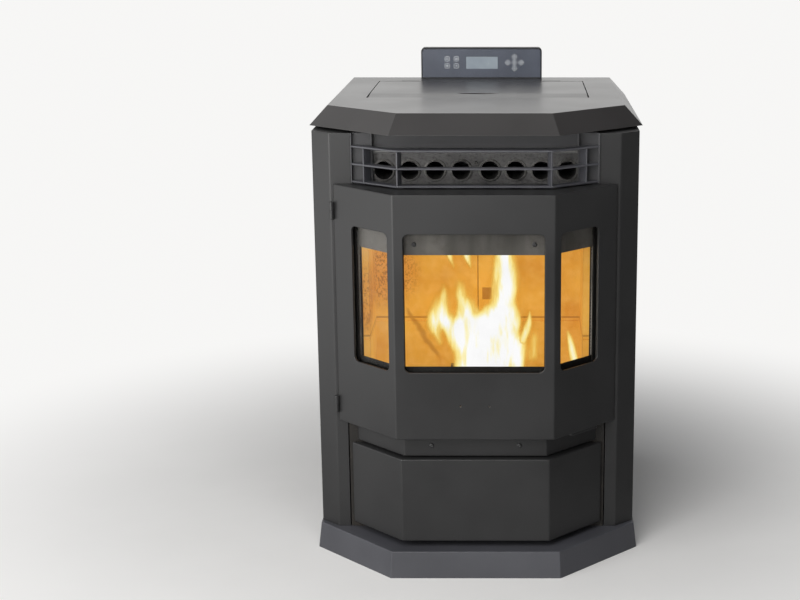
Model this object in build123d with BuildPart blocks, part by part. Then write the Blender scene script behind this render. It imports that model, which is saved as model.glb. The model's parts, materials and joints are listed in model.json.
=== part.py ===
# Pellet stove with a three-window bay door, ash drawer, top hopper and rear pipes.
# Millimetres. +X to the right seen from the front, +Y to the back, +Z up.
# Origin: on the floor, under the middle of the top cap.

import math
import os

from build123d import *

os.makedirs("parts", exist_ok=True)

# ---------------------------------------------------------------- driving dimensions

bay_angle = 45.0                # facets of door, drawer and plinth, from the X axis
fit_gap = 0.3                   # between pieces that are set close together
running_gap = 0.05              # radial, shaft in its bore
weld_gap = 0.1                  # tube in its plate, and welded sheets apart

# plinth: folded sheet skirt with a flat top
plinth_half_width = 310.0
plinth_front_half = 158.5
plinth_front_y = -392.0
plinth_back_y = 322.0
plinth_height = 50.5
plinth_draft = 6.0
plinth_sheet = 3.0
plinth_edge_radius = 2.0

# casing
body_front_y = -258.0
body_back_y = 318.0
panel_half_width = 302.5
panel_corner_y = -226.5
panel_sheet = 2.0
panel_top_gap = 5.0             # shadow gap under the cap
strip_outer_half = 267.5
strip_upper_inner_half = 228.0
strip_lower_inner_half = 245.0
panel_bend_radius = 5.0
panel_flange = 20.0              # turned in along the back edge
panel_top_flange_y = -130.0      # back end of the flange turned in over the front corner
back_screw_inset = 12.0
back_screw_margin = 30.0         # from the panel's foot and top

# top cap: sloping front, facets and sides, upright back
cap_half_width = 311.0
cap_front_half = 153.0
cap_front_y = -329.0
cap_back_y = 329.0
cap_facet_angle = 42.0
cap_rim_z = 819.0
cap_height = 36.0
cap_slope_inset = 33.0
cap_sheet = 3.0
cap_edge_radius = 1.0
cap_carrier_half = 180.0         # upstands under the cap, front and back

# hopper lid: flat, with a shallow slope along its front and a finger slot at the fold
lid_half_width = 215.0
lid_front_y = -50.0
lid_fold_y = 18.0
lid_back_y = 246.0
lid_front_drop = 4.0
lid_gap = 2.0
lid_back_gap = 5.0
lid_slot_length = 86.0
lid_slot_width = 15.0
lid_hinge_y = 254.0
lid_hinge_drop = 3.5            # pin axis under the top of the cap
lid_hinge_x = 150.0
lid_knuckle_radius = 3.2
lid_knuckle_length = 30.0
lid_pin_radius = 2.0
lid_ear_thickness = 3.0
lid_ear_drop = 1.0              # ear tops under the top of the cap
lid_ear_foot = 4.0              # of each ear, under the cap's sheet
lid_strap_length = 22.0
lid_strap_thickness = 2.0

# control head on the back edge of the cap
head_half_width = 130.0
head_height = 66.0
head_front_y = 302.0
head_depth = 25.0
head_corner_radius = 8.5
head_wall = 2.5
head_bevel = 2.0
fascia_thickness = 2.5
fascia_recess = 0.8
lcd_module_rim = 2.0
lcd_module_gap = 1.5
lcd_width = 68.0
lcd_height = 26.0
lcd_x = 1.0
lcd_z = 34.0                    # above the cap
board_thickness = 1.6
board_setback = 8.0
key_radius = 6.0
key_x = -64.0
key_z = 35.0
key_pitch_x = 19.5
key_pitch_z = 15.0
key_proud = 1.0
key_flange = 0.8
key_travel = 0.8
key_flange_thickness = 1.0
key_stem_radius = 1.6
nav_x = 71.0
nav_z = 34.5
nav_pitch_x = 14.4
nav_pitch_z = 12.4
nav_half_width = 6.2
nav_half_height = 5.2

# warm air outlet grille
grille_front_half = 142.0
grille_front_y = -322.0
grille_facet_angle = 36.0
grille_bar_depth = 18.0          # flat strips, laid level
grille_bar_thickness = 3.0
grille_top_bar_z = 788.5         # underside of the top bar
grille_bar_pitch = 32.3
grille_bars = 3
grille_outer_post_x = 204.0
grille_post_depth = 20.0         # upright strips, square to the bars
grille_post_thickness = 2.5
grille_post_setback = 1.0
grille_door_gap = 2.0            # cheeks above the door's top

# outlet frame behind the grille and tube plate
outlet_sheet = 2.0
outlet_plate_y = -250.0
outlet_window_half = 188.0
outlet_window_top_z = 783.0
outlet_lip_depth = 12.0
tube_plate_y = -242.0
tube_plate_thickness = 3.0
tube_bead_radius = 3.5
tube_count_side = 4
tube_first_x = 26.4
tube_pitch = 47.5
tube_radius = 19.0
tube_wall = 2.0
tube_z = 743.5
tube_proud = 4.0
tube_back_proud = 6.0            # into the warm air duct
scraper_thickness = 3.0
scraper_rest_gap = 12.0
scraper_rod_radius = 3.0
scraper_rod_z = 757.5
scraper_rod_proud = 9.0
scraper_clearance = 0.4
scraper_side_gap = 10.0          # to the firebox's sides
scraper_rim = 6.0                # under the tubes
scraper_top_gap = 8.0

# firebox
firebox_side_room = 76.5         # from each side panel's face
firebox_back_y = -85.0
firebox_floor_z = 283.0
firebox_top_z = 790.0
firebox_sheet = 4.0
front_plate_half = 243.0
front_plate_bottom_z = 266.0
front_plate_top_z = 716.0
opening_half = 212.0
opening_bottom_z = 304.0
opening_top_z = 696.0
opening_radius = 12.0
latch_slot_room = 3.0            # above and under the latch's tongue
brick_thickness = 22.0
brick_joint = 1.5
brick_split_z = 423.0
brick_top_z = 690.0

# burn pot, air box and igniter
pot_y = -165.0
pot_half_width = 53.0
pot_half_depth = 39.0
pot_wall = 5.0
pot_bottom_z = 262.0
pot_rim_z = 340.0
pot_flange = 12.0
pot_flange_thickness = 4.0
pot_hole_radius = 2.5
pot_hole_pitch = 12.0
ash_slot_x = 112.0
ash_slot_width = 60.0
ash_slot_depth = 80.0
ash_slot_radius = 6.0
air_box_half_width = 70.0
air_box_half_depth = 56.0
air_box_height = 48.0
air_box_sheet = 2.0
igniter_radius = 5.0
igniter_x = 40.0
igniter_length = 100.0

# bay door
door_half_width = 261.0
door_front_half = 145.0
door_seal_gap = 4.0
door_bottom_z = 267.0
door_top_z = 721.0
door_sheet = 4.0
door_bend_radius = 5.0
door_edge_radius = 1.5
door_frame_thickness = 4.0
window_bottom_z = 394.0
window_top_z = 650.0
window_front_half = 127.0
window_side_width = 100.0
window_side_shift = 17.0        # towards the front corner, along the facet
window_radius = 11.0
glass_thickness = 5.0
glass_lap = 8.0
glass_rope_thickness = 3.0
glass_rope_width = 7.0
pane_corner_radius = 4.0
retainer_thickness = 2.5
retainer_width = 9.0
wash_plate_bottom_z = 609.0
wash_plate_top_z = 675.0
wash_plate_sheet = 2.0
wash_plate_gap = 3.0
wash_rope_gap = 1.0
sill_bottom_z = 376.0
sill_top_z = 401.0
rope_width = 14.0
rope_depth = 12.0
rope_edge_radius = 3.0
handle_hole_radius = 1.6
handle_hole_x = 26.5
handle_hole_z = 331.0

# door hinge: two lift-off knuckles beside the left edge
hinge_offset_x = 3.5            # outside the door's edge
hinge_offset_y = 2.5            # in front of the door's back
knuckle_radius = 4.6
lug_radius = 3.9
knuckle_length = 16.0
hinge_pin_radius = 2.5
hinge_pin_length = 13.0
hinge_cap_thickness = 2.0
hinge_inset_z = 33.0            # knuckle above the door's bottom, below its top

# door latch under the right facet
latch_x = 222.0
latch_y = -283.0
latch_spindle_radius = 5.0
latch_lever_length = 62.0
latch_lever_width = 12.0
latch_lever_thickness = 7.0
latch_tongue_reach = 34.0
latch_tongue_width = 10.0
latch_tongue_thickness = 6.0
latch_sweep_x = 38.0            # sideways room for the turning tongue

# ash drawer and its compartment
drawer_half_width = 237.0
drawer_front_half = 137.5
drawer_gap = 8.0
drawer_bottom_z = 63.0
drawer_top_z = 224.0
drawer_sheet = 3.0
drawer_bend_radius = 6.0
drawer_edge_radius = 2.0
pan_half_width = 198.0
pan_length = 164.0
pan_height = 128.0
pan_sheet = 1.5
pan_plate = 2.0
compartment_half_width = 212.0
compartment_sheet = 2.0
compartment_opening_half = 205.0
compartment_opening_top_z = 222.0
compartment_opening_bottom_z = 58.0
rail_width = 10.0
rail_height = 9.2
recess_inset = 13.0
recess_bottom_z = 227.0
recess_top_z = 263.0
recess_sheet = 2.0
recess_bend_radius = 4.0
recess_screw_x = 81.0
recess_screw_z = 247.0

# hopper
hopper_wall = 2.0
hopper_collar_gap = 4.0         # around the lid
hopper_back_room = 16.0         # behind the lid for its hinge
hopper_taper_top_z = 790.0
hopper_throat_top_z = 605.0
hopper_throat_y = 130.0
hopper_throat_half = 30.0
hopper_flange = 12.0
hopper_ledge = 14.0

# auger: lifts the pellets forwards and up at 45 degrees
auger_top_y = -28.0
auger_top_z = 690.0
auger_tube_length = 300.0
auger_tube_radius = 31.0
auger_tube_wall = 3.0
auger_flight_radius = 26.0
auger_core_radius = 9.0
auger_pitch = 44.0
auger_flight_thickness = 4.0
auger_cap_thickness = 5.0
auger_upper_margin = 24.0        # tube without flight at its upper end
auger_lower_margin = 12.0
auger_shaft_reach = 10.0         # into the motor
auger_journal_radius = 6.0
auger_motor_radius = 34.0
auger_motor_length = 46.0
auger_rotor_radius = 24.0
auger_rotor_length = 34.0
chute_outlet_z = 588.0
chute_half_width = 24.0
chute_height = 44.0
chute_wall = 2.0
chute_cut_gap = 0.5

# warm air duct behind the firebox
duct_depth = 25.0
duct_half_width = 192.0
duct_bottom_z = 100.0
duct_sheet = 2.0
duct_foot_x = 115.0
duct_foot_width = 90.0
duct_foot_height = 62.0
duct_foot_length = 118.0
sleeve_seam_reach = 18.0        # seams above and below the air pipe's axis

# warm air blower
blower_y = 178.0
blower_z = 172.0
blower_radius = 72.0
blower_width = 90.0
blower_wall = 2.0
blower_inlet_radius = 40.0
blower_wheel_radius = 54.0
blower_wheel_width = 70.0
blower_blades = 16
blower_motor_radius = 38.0
blower_motor_length = 60.0
blower_leg_width = 40.0
blower_blade_chord = 9.0
blower_blade_thickness = 2.0
blower_blade_turn = 35.0
blower_disc_thickness = 3.0

# exhaust gas duct and blower
exhaust_duct_width = 48.0
exhaust_duct_front_y = -150.0
exhaust_duct_leg = 60.0
exhaust_duct_bottom_z = 150.0
exhaust_duct_height = 110.0
exhaust_port_bottom_z = 700.0
exhaust_port_margin = 8.0         # from the port to the duct's walls
exhaust_y = 185.0
exhaust_z = 205.0
exhaust_radius = 66.0
exhaust_width = 84.0
exhaust_wall = 2.5
exhaust_inlet_radius = 33.0
exhaust_wheel_radius = 54.0
exhaust_blades = 8
exhaust_blade_depth = 40.0
exhaust_blade_setback = 30.0     # blades behind the housing's inlet wall
exhaust_blade_thickness = 2.5
exhaust_hub_radius = 12.0
exhaust_disc_thickness = 3.0
exhaust_motor_radius = 40.0
exhaust_motor_length = 64.0
shaft_radius = 4.0
shaft_reach = 12.0               # of both wheels' shafts into their motors
shaft_hole_gap = 1.5             # radial, shaft in a housing's wall
motor_edge_radius = 6.0

# pipes and sockets at the back
flue_radius = 38.0              # 76 mm flue
flue_wall = 1.5
flue_length = 74.0              # behind the back panel
flue_box_margin = 1.0
pipe_flange_width = 7.0          # ring on both pipes, against the back panel
pipe_flange_thickness = 2.0
flue_z = 232.0
intake_radius = 25.4            # 50.8 mm air pipe
intake_wall = 1.5
intake_length = 45.0
intake_z = 255.0
inlet_side_room = 70.5           # from the right side panel's face
inlet_z = 92.0
inlet_width = 48.0
inlet_height = 27.0
inlet_depth = 26.0
inlet_flange = 4.0
inlet_flange_thickness = 2.5
inlet_floor = 4.0
inlet_well_width = 28.0
inlet_well_height = 20.0
inlet_blade_length = 16.0
inlet_blade_width = 2.0
inlet_blade_height = 5.0
inlet_blade_pitch = 7.0
vent_x = 150.0
vent_z = 180.0
vent_slot_width = 60.0
vent_slot_height = 6.0
vent_pitch_z = 14.0
vent_rows = 9
vent_bridge = 16.0               # sheet between two slots of a row
screw_head_radius = 4.5
screw_head_height = 2.5
screw_shank_radius = 2.0
screw_length = 9.0
small_screw_head_radius = 3.0
wash_screw_x = 108.0
wash_screw_z = 628.5

# ---------------------------------------------------------------- derived places

firebox_half_width = panel_half_width - firebox_side_room
inlet_x = panel_half_width - inlet_side_room
cap_top_z = cap_rim_z + cap_height
cap_under_z = cap_top_z - cap_sheet
panel_top_z = cap_rim_z - panel_top_gap
door_back_y = body_front_y - door_seal_gap
door_front_y = door_back_y - (door_half_width - door_front_half) * math.tan(math.radians(bay_angle))
drawer_back_y = body_front_y - drawer_gap
drawer_front_y = drawer_back_y - (drawer_half_width - drawer_front_half) * math.tan(
    math.radians(bay_angle)
)
hinge_x = -door_half_width - hinge_offset_x
hinge_y = door_back_y - hinge_offset_y


# ---------------------------------------------------------------- helpers


def bay_points(front_half, half_width, front_y, back_y, angle=bay_angle, inset=0.0):
    """Plan outline with a flat front, two facets and straight sides, moved inwards by inset.

    Where the facets reach the back before the sides, they run straight to it.
    """
    slope = math.radians(angle)
    corner_y = front_y + (half_width - front_half) * math.tan(slope)
    front_x = front_half - inset * math.tan(slope / 2)
    side_y = corner_y + inset * math.tan(math.pi / 4 - slope / 2)
    front = [(-front_x, front_y + inset), (front_x, front_y + inset)]
    if side_y > back_y - 0.01:
        back_x = front_x + (back_y - front_y - inset) / math.tan(slope)
        return [(-back_x, back_y)] + front + [(back_x, back_y)]
    side_x = half_width - inset
    return [(-side_x, back_y), (-side_x, side_y)] + front + [(side_x, side_y), (side_x, back_y)]


def door_bay(inset, back_y):
    """The door's plan outline, moved inwards by inset and open to back_y."""
    return bay_points(door_front_half, door_half_width, door_front_y, back_y, inset=inset)


def prism(points, low_z, high_z, mode=Mode.ADD, bend=0.0):
    """Upright prism over a plan outline, its two front corners bent to a radius."""
    with BuildSketch(Plane.XY.offset(low_z)) as outline:
        with BuildLine():
            Polyline(points, close=True)
        make_face()
        if bend > 0:
            fillet(outline.vertices().group_by(Axis.Y)[0], bend)
    extrude(outline.sketch, amount=high_z - low_z, mode=mode)


def side_prism(points, half_width, mode=Mode.ADD):
    """Prism along X over an outline given as (y, z) points."""
    with BuildSketch(Plane.YZ) as outline:
        with BuildLine():
            Polyline(points, close=True)
        make_face()
    extrude(outline.sketch, amount=half_width, both=True, mode=mode)


def block(low, high, mode=Mode.ADD):
    """Box between two corners."""
    size = [b - a for a, b in zip(low, high)]
    with Locations(low):
        Box(*size, align=(Align.MIN, Align.MIN, Align.MIN), mode=mode)


def rod(start, end, radius, mode=Mode.ADD):
    """Cylinder from one point to another."""
    axis = Vector(*end) - Vector(*start)
    with BuildSketch(Plane(origin=start, z_dir=axis)) as section:
        Circle(radius)
    extrude(section.sketch, amount=axis.length, mode=mode)


def save(builder, label):
    """Name a finished piece and write it out."""
    builder.part.label = label
    export_step(builder.part, "parts/" + label + ".step")


def front_edges_of(face):
    """Edges round a bay-shaped face, without those along its back."""
    back_y = face.bounding_box().max.Y
    return [edge for edge in face.outer_wire().edges() if edge.center().Y < back_y - fit_gap]


def screw(head_place, inward, head_radius=screw_head_radius):
    """Domed screw: its head's underside at head_place, its shank pointing inward (along Y)."""
    x, y, z = head_place
    rod((x, y - inward * screw_head_height, z), (x, y, z), head_radius)
    rod((x, y, z), (x, y + inward * screw_length, z), screw_shank_radius)


def screw_hole(head_place, reach):
    """Clearance hole along Y for a screw, reach to each side of head_place."""
    x, y, z = head_place
    rod((x, y - reach, z), (x, y + reach, z), screw_shank_radius + weld_gap, Mode.SUBTRACT)


def back_ring(x, z, pipe_radius):
    """Flange ring round a pipe of that radius, against the outside of the back panel."""
    with BuildSketch(Plane.XZ.offset(-body_back_y)) as ring:
        with Locations((x, z)):
            Circle(pipe_radius + pipe_flange_width)
            Circle(pipe_radius, mode=Mode.SUBTRACT)
    extrude(ring.sketch, amount=-pipe_flange_thickness)


window_middle_z = (window_top_z + window_bottom_z) / 2
window_height = window_top_z - window_bottom_z
pane_height = window_height + 2 * glass_lap
window_sides = (-1, 0, 1)       # left, front and right window of the door


def window_plane(side, depth=0.0):
    """Plane of the door's front (side 0) or of a facet, Z out of the door, set in by depth."""
    if side == 0:
        origin = (0, door_front_y + depth, window_middle_z)
        return Plane(origin=origin, x_dir=(1, 0, 0), z_dir=(0, -1, 0))
    slope = math.radians(bay_angle)
    normal = Vector(side * math.sin(slope), -math.cos(slope), 0)
    along = Vector(-side * math.cos(slope), -math.sin(slope), 0)
    middle = Vector(
        side * (door_front_half + door_half_width) / 2,
        (door_front_y + door_back_y) / 2,
        window_middle_z,
    )
    return Plane(origin=middle - normal * depth + along * window_side_shift, x_dir=along, z_dir=normal)


def window_width(side):
    """Width of a window's opening."""
    return 2 * window_front_half if side == 0 else window_side_width


def pane_width(side):
    """Width of a window's glass, with its lap on both sides."""
    return window_width(side) + 2 * glass_lap


# ---------------------------------------------------------------- plinth

with BuildPart() as plinth:
    with BuildSketch(Plane.XY):
        with BuildLine():
            Polyline(
                bay_points(plinth_front_half, plinth_half_width, plinth_front_y, plinth_back_y),
                close=True,
            )
        make_face()
    with BuildSketch(Plane.XY.offset(plinth_height)):
        with BuildLine():
            Polyline(
                bay_points(
                    plinth_front_half,
                    plinth_half_width,
                    plinth_front_y,
                    plinth_back_y,
                    inset=plinth_draft,
                ),
                close=True,
            )
        make_face()
    loft(ruled=True)
    rim_edges = front_edges_of(plinth.faces().sort_by(Axis.Z)[-1])
    corner_edges = [
        edge
        for edge in plinth.edges()
        if edge.bounding_box().size.Z > plinth_height / 2 and edge.center().Y < plinth_back_y - plinth_draft
    ]
    fillet(rim_edges + corner_edges, plinth_edge_radius)
    prism(
        bay_points(
            plinth_front_half,
            plinth_half_width,
            plinth_front_y,
            plinth_back_y - plinth_sheet,
            inset=plinth_draft + plinth_sheet,
        ),
        0,
        plinth_height - plinth_sheet,
        Mode.SUBTRACT,
    )
save(plinth, "plinth")

# ---------------------------------------------------------------- casing

panel_back_y = body_back_y - panel_sheet
back_screw_x = panel_half_width - back_screw_inset
back_screws = [
    (side * back_screw_x, body_back_y, z)
    for side in (-1, 1)
    for z in (
        plinth_height + back_screw_margin,
        (plinth_height + panel_top_z) / 2,
        panel_top_z - back_screw_margin,
    )
]
for side, name in ((-1, "side_panel_left"), (1, "side_panel_right")):
    inner_side = Side.LEFT if side < 0 else Side.RIGHT
    with BuildPart() as side_panel:
        with BuildSketch(Plane.XY.offset(plinth_height)):
            with BuildLine():
                FilletPolyline(
                    (side * (panel_half_width - panel_flange), panel_back_y),
                    (side * panel_half_width, panel_back_y),
                    (side * panel_half_width, panel_corner_y),
                    (side * strip_outer_half, body_front_y),
                    (side * strip_upper_inner_half, body_front_y),
                    radius=panel_bend_radius,
                )
                offset(amount=panel_sheet, side=inner_side, kind=Kind.INTERSECTION)
            make_face()
        extrude(amount=panel_top_z - plinth_height)
        # below the outlet the front strip is narrower
        cut_x = sorted((side * (strip_upper_inner_half - 1), side * strip_lower_inner_half))
        block(
            (cut_x[0], body_front_y - 1, plinth_height),
            (cut_x[1], body_front_y + panel_sheet + 1, front_plate_top_z + fit_gap),
            Mode.SUBTRACT,
        )
        # top flange over the front corner, which stands out from under the cap
        sheet_middle = panel_sheet / 2
        prism(
            [
                (side * (panel_half_width - sheet_middle), panel_top_flange_y),
                (side * (panel_half_width - sheet_middle), panel_corner_y + sheet_middle),
                (side * (strip_outer_half - sheet_middle), body_front_y + sheet_middle),
                (side * strip_upper_inner_half, body_front_y + sheet_middle),
                (side * strip_upper_inner_half, panel_top_flange_y),
            ],
            panel_top_z - panel_sheet,
            panel_top_z,
        )
        for place in back_screws:
            screw_hole(place, 2 * panel_sheet + 1)
    save(side_panel, name)

inlet_low = (inlet_x - inlet_width / 2, inlet_z - inlet_height / 2)
inlet_high = (inlet_x + inlet_width / 2, inlet_z + inlet_height / 2)
flue_x = -firebox_half_width + exhaust_width / 2 + fit_gap
with BuildPart() as back_panel:
    block(
        (-panel_half_width, panel_back_y, plinth_height),
        (panel_half_width, body_back_y, panel_top_z),
    )
    # upstand that carries the cap
    block(
        (-cap_carrier_half, panel_back_y, panel_top_z),
        (cap_carrier_half, body_back_y, cap_under_z),
    )
    for place in back_screws:
        screw_hole(place, panel_sheet + 1)
    with BuildSketch(Plane.XZ.offset(-body_back_y)):
        with Locations((flue_x, flue_z)):
            Circle(flue_radius + fit_gap)
        with Locations((0, intake_z)):
            Circle(intake_radius + fit_gap)
        with Locations((inlet_x, inlet_z)):
            Rectangle(inlet_width + 2 * fit_gap, inlet_height + 2 * fit_gap)
        with Locations((vent_x, vent_z)):
            with GridLocations(vent_slot_width + vent_bridge, vent_pitch_z, 2, vent_rows):
                SlotOverall(vent_slot_width, vent_slot_height)
    extrude(amount=panel_sheet + 1, both=True, mode=Mode.SUBTRACT)
save(back_panel, "back_panel")

# ---------------------------------------------------------------- top cap, lid and its hinge

cap_wall_inset = cap_sheet * math.hypot(cap_slope_inset, cap_height) / cap_height


def cap_outline(inset, back_inset):
    """Cap plan outline; its back stays upright, so it moves in on its own."""
    points = bay_points(
        cap_front_half,
        cap_half_width,
        cap_front_y,
        cap_back_y - back_inset,
        angle=cap_facet_angle,
        inset=inset,
    )
    return points


def cap_solid(rim_inset, top_inset, top_z, back_inset, mode=Mode.ADD):
    """Loft of the cap's slopes between its rim and its top."""
    with BuildSketch(Plane.XY.offset(cap_rim_z)) as rim:
        with BuildLine():
            Polyline(cap_outline(rim_inset, back_inset), close=True)
        make_face()
    with BuildSketch(Plane.XY.offset(top_z)) as top:
        with BuildLine():
            Polyline(cap_outline(top_inset, back_inset), close=True)
        make_face()
    loft([rim.sketch.face(), top.sketch.face()], ruled=True, mode=mode)


lid_pin_z = cap_top_z - lid_hinge_drop
ear_reach = lid_knuckle_length / 2 + fit_gap
notch_half = ear_reach + lid_ear_thickness + fit_gap
notch_back_y = lid_hinge_y + lid_knuckle_radius + fit_gap
with BuildPart() as top_cap:
    cap_solid(0, cap_slope_inset, cap_top_z, 0)
    top_edges = front_edges_of(top_cap.faces().sort_by(Axis.Z)[-1])
    slope_edges = [
        edge
        for edge in top_cap.edges()
        if edge.bounding_box().size.Z > cap_height / 2 and edge.center().Y < cap_back_y - cap_sheet
    ]
    fillet(top_edges + slope_edges, cap_edge_radius)
    inner_top_inset = cap_slope_inset * (cap_height - cap_sheet) / cap_height + cap_wall_inset
    cap_solid(cap_wall_inset, inner_top_inset, cap_under_z, cap_sheet, Mode.SUBTRACT)
    # opening for the lid
    block(
        (-lid_half_width - lid_gap, lid_front_y - lid_gap, cap_under_z - 1),
        (lid_half_width + lid_gap, lid_back_y + lid_back_gap, cap_top_z + 1),
        Mode.SUBTRACT,
    )
    # notches in which the lid's two knuckles and their ears lie
    for knuckle_x in (-lid_hinge_x, lid_hinge_x):
        block(
            (knuckle_x - notch_half, lid_back_y, cap_under_z - 1),
            (knuckle_x + notch_half, notch_back_y, cap_top_z + 1),
            Mode.SUBTRACT,
        )
save(top_cap, "top_cap")

lid_front_top_z = cap_top_z - lid_front_drop
with BuildPart() as hopper_lid:
    side_prism(
        [
            (lid_back_y, cap_top_z),
            (lid_fold_y, cap_top_z),
            (lid_front_y, lid_front_top_z),
            (lid_front_y, lid_front_top_z - cap_sheet),
            (lid_fold_y, cap_under_z),
            (lid_back_y, cap_under_z),
        ],
        lid_half_width,
    )
    # lens-shaped finger slot at the fold
    with BuildSketch(Plane.XY.offset(cap_under_z - lid_front_drop)):
        with BuildLine():
            ends = ((-lid_slot_length / 2, lid_fold_y), (lid_slot_length / 2, lid_fold_y))
            ThreePointArc(ends[0], (0, lid_fold_y + lid_slot_width / 2), ends[1])
            ThreePointArc(ends[0], (0, lid_fold_y - lid_slot_width / 2), ends[1])
        make_face()
    extrude(amount=2 * lid_front_drop + cap_sheet, mode=Mode.SUBTRACT)
    for knuckle_x in (-lid_hinge_x, lid_hinge_x):
        low_x = knuckle_x - lid_knuckle_length / 2
        high_x = knuckle_x + lid_knuckle_length / 2
        rod((low_x, lid_hinge_y, lid_pin_z), (high_x, lid_hinge_y, lid_pin_z), lid_knuckle_radius)
        # strap from the knuckle along the lid's underside
        block(
            (low_x, lid_hinge_y - lid_strap_length, cap_under_z - lid_strap_thickness),
            (high_x, lid_hinge_y - lid_pin_radius, cap_under_z),
        )
        rod(
            (low_x - 1, lid_hinge_y, lid_pin_z),
            (high_x + 1, lid_hinge_y, lid_pin_z),
            lid_pin_radius + running_gap,
            Mode.SUBTRACT,
        )
save(hopper_lid, "hopper_lid")

with BuildPart() as lid_hinge:
    ear_front_y = lid_hinge_y - lid_pin_radius
    ear_bottom_z = lid_pin_z - lid_knuckle_radius
    for knuckle_x in (-lid_hinge_x, lid_hinge_x):
        for side in (-1, 1):
            ear_x = sorted((knuckle_x + side * ear_reach, knuckle_x + side * (ear_reach + lid_ear_thickness)))
            block(
                (ear_x[0], ear_front_y, ear_bottom_z),
                (ear_x[1], notch_back_y, cap_top_z - lid_ear_drop),
            )
            block(
                (ear_x[0], ear_front_y, ear_bottom_z),
                (ear_x[1], notch_back_y + lid_ear_foot, cap_under_z),
            )
        rod(
            (knuckle_x - ear_reach - lid_ear_thickness, lid_hinge_y, lid_pin_z),
            (knuckle_x + ear_reach + lid_ear_thickness, lid_hinge_y, lid_pin_z),
            lid_pin_radius,
        )
save(lid_hinge, "lid_hinge")

# ---------------------------------------------------------------- control head

head_top_z = cap_top_z + head_height
head_back_y = head_front_y + head_depth
fascia_back_y = head_front_y + fascia_recess + fascia_thickness
fascia_half_width = head_half_width - head_wall - fit_gap


def head_face(inset, y):
    """Upright face of the head at y: square foot, rounded top corners, moved in by inset."""
    half = head_half_width - inset
    radius = head_corner_radius - inset
    foot = cap_top_z + inset
    top = head_top_z - inset
    with BuildSketch(Plane.XZ.offset(-y)) as face:
        with BuildLine():
            FilletPolyline((-half, foot + 1), (-half, top), (half, top), (half, foot + 1), radius=radius)
            Polyline((half, foot + 1), (half, foot), (-half, foot), (-half, foot + 1))
        make_face()
    return face.sketch


with BuildPart() as control_housing:
    extrude(head_face(0, head_back_y), amount=head_depth)
    front_edges = control_housing.faces().sort_by(Axis.Y)[0].outer_wire().edges()
    chamfer(front_edges.sort_by(Axis.Z)[1:], head_bevel)
    extrude(head_face(head_wall, head_back_y - head_wall), amount=head_depth, mode=Mode.SUBTRACT)
save(control_housing, "control_housing")

key_places = {
    "key_upper_left": (key_x - key_pitch_x / 2, key_z + key_pitch_z / 2),
    "key_upper_right": (key_x + key_pitch_x / 2, key_z + key_pitch_z / 2),
    "key_lower_left": (key_x - key_pitch_x / 2, key_z - key_pitch_z / 2),
    "key_lower_right": (key_x + key_pitch_x / 2, key_z - key_pitch_z / 2),
}
nav_places = {
    "nav_key_centre": (nav_x, nav_z),
    "nav_key_left": (nav_x - nav_pitch_x, nav_z),
    "nav_key_right": (nav_x + nav_pitch_x, nav_z),
    "nav_key_up": (nav_x, nav_z + nav_pitch_z),
    "nav_key_down": (nav_x, nav_z - nav_pitch_z),
}


def key_section(is_nav, growth):
    """Outline of one key on the current sketch, grown evenly by growth."""
    if is_nav:
        half_angle = math.atan2(nav_half_height, nav_half_width)
        reach_x = nav_half_width + growth / math.sin(half_angle)
        reach_z = nav_half_height + growth / math.cos(half_angle)
        Polygon((reach_x, 0), (0, reach_z), (-reach_x, 0), (0, -reach_z))
    else:
        Circle(key_radius + growth)


with BuildPart() as control_fascia:
    extrude(head_face(head_wall + fit_gap, fascia_back_y), amount=fascia_thickness)
    with BuildSketch(Plane.XZ.offset(-fascia_back_y)):
        with Locations((lcd_x, cap_top_z + lcd_z)):
            Rectangle(lcd_width, lcd_height)
        for place_x, place_z in key_places.values():
            with Locations((place_x, cap_top_z + place_z)):
                key_section(False, fit_gap)
        for place_x, place_z in nav_places.values():
            with Locations((place_x, cap_top_z + place_z)):
                key_section(True, fit_gap)
    extrude(amount=fascia_thickness, mode=Mode.SUBTRACT)
save(control_fascia, "control_fascia")

with BuildPart() as lcd_window:
    with BuildSketch(Plane.XZ.offset(-fascia_back_y)):
        with Locations((lcd_x, cap_top_z + lcd_z)):
            RectangleRounded(lcd_width - 2 * weld_gap, lcd_height - 2 * weld_gap, 1.0)
    extrude(amount=fascia_thickness)
save(lcd_window, "lcd_window")

board_front_y = fascia_back_y + board_setback
with BuildPart() as control_board:
    block(
        (-fascia_half_width, board_front_y, cap_top_z + head_wall + head_corner_radius),
        (fascia_half_width, board_front_y + board_thickness, head_top_z - head_corner_radius),
    )
    # display module behind the window
    module_half_width = lcd_width / 2 + lcd_module_rim
    module_half_height = lcd_height / 2 + lcd_module_rim
    block(
        (lcd_x - module_half_width, fascia_back_y + lcd_module_gap, cap_top_z + lcd_z - module_half_height),
        (lcd_x + module_half_width, board_front_y, cap_top_z + lcd_z + module_half_height),
    )
save(control_board, "control_board")

for is_nav, places in ((False, key_places), (True, nav_places)):
    for name, (place_x, place_z) in places.items():
        flange_front_y = fascia_back_y + fit_gap
        with BuildPart() as key:
            with BuildSketch(Plane.XZ.offset(-flange_front_y)):
                with Locations((place_x, cap_top_z + place_z)):
                    key_section(is_nav, 0)
            extrude(amount=fit_gap + fascia_thickness + key_proud)
            crown = key.faces().sort_by(Axis.Y)[0].outer_wire().edges()
            fillet(crown, key_proud / 2)
            with BuildSketch(Plane.XZ.offset(-flange_front_y - key_flange_thickness)):
                with Locations((place_x, cap_top_z + place_z)):
                    key_section(is_nav, fit_gap + key_flange / 4)
            extrude(amount=key_flange_thickness)
            stem_y = flange_front_y + key_flange_thickness
            rod(
                (place_x, stem_y, cap_top_z + place_z),
                (place_x, board_front_y - key_travel - fit_gap, cap_top_z + place_z),
                key_stem_radius,
            )
        save(key, name)

# ---------------------------------------------------------------- outlet: grille, frame, tube plate, tubes

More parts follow.
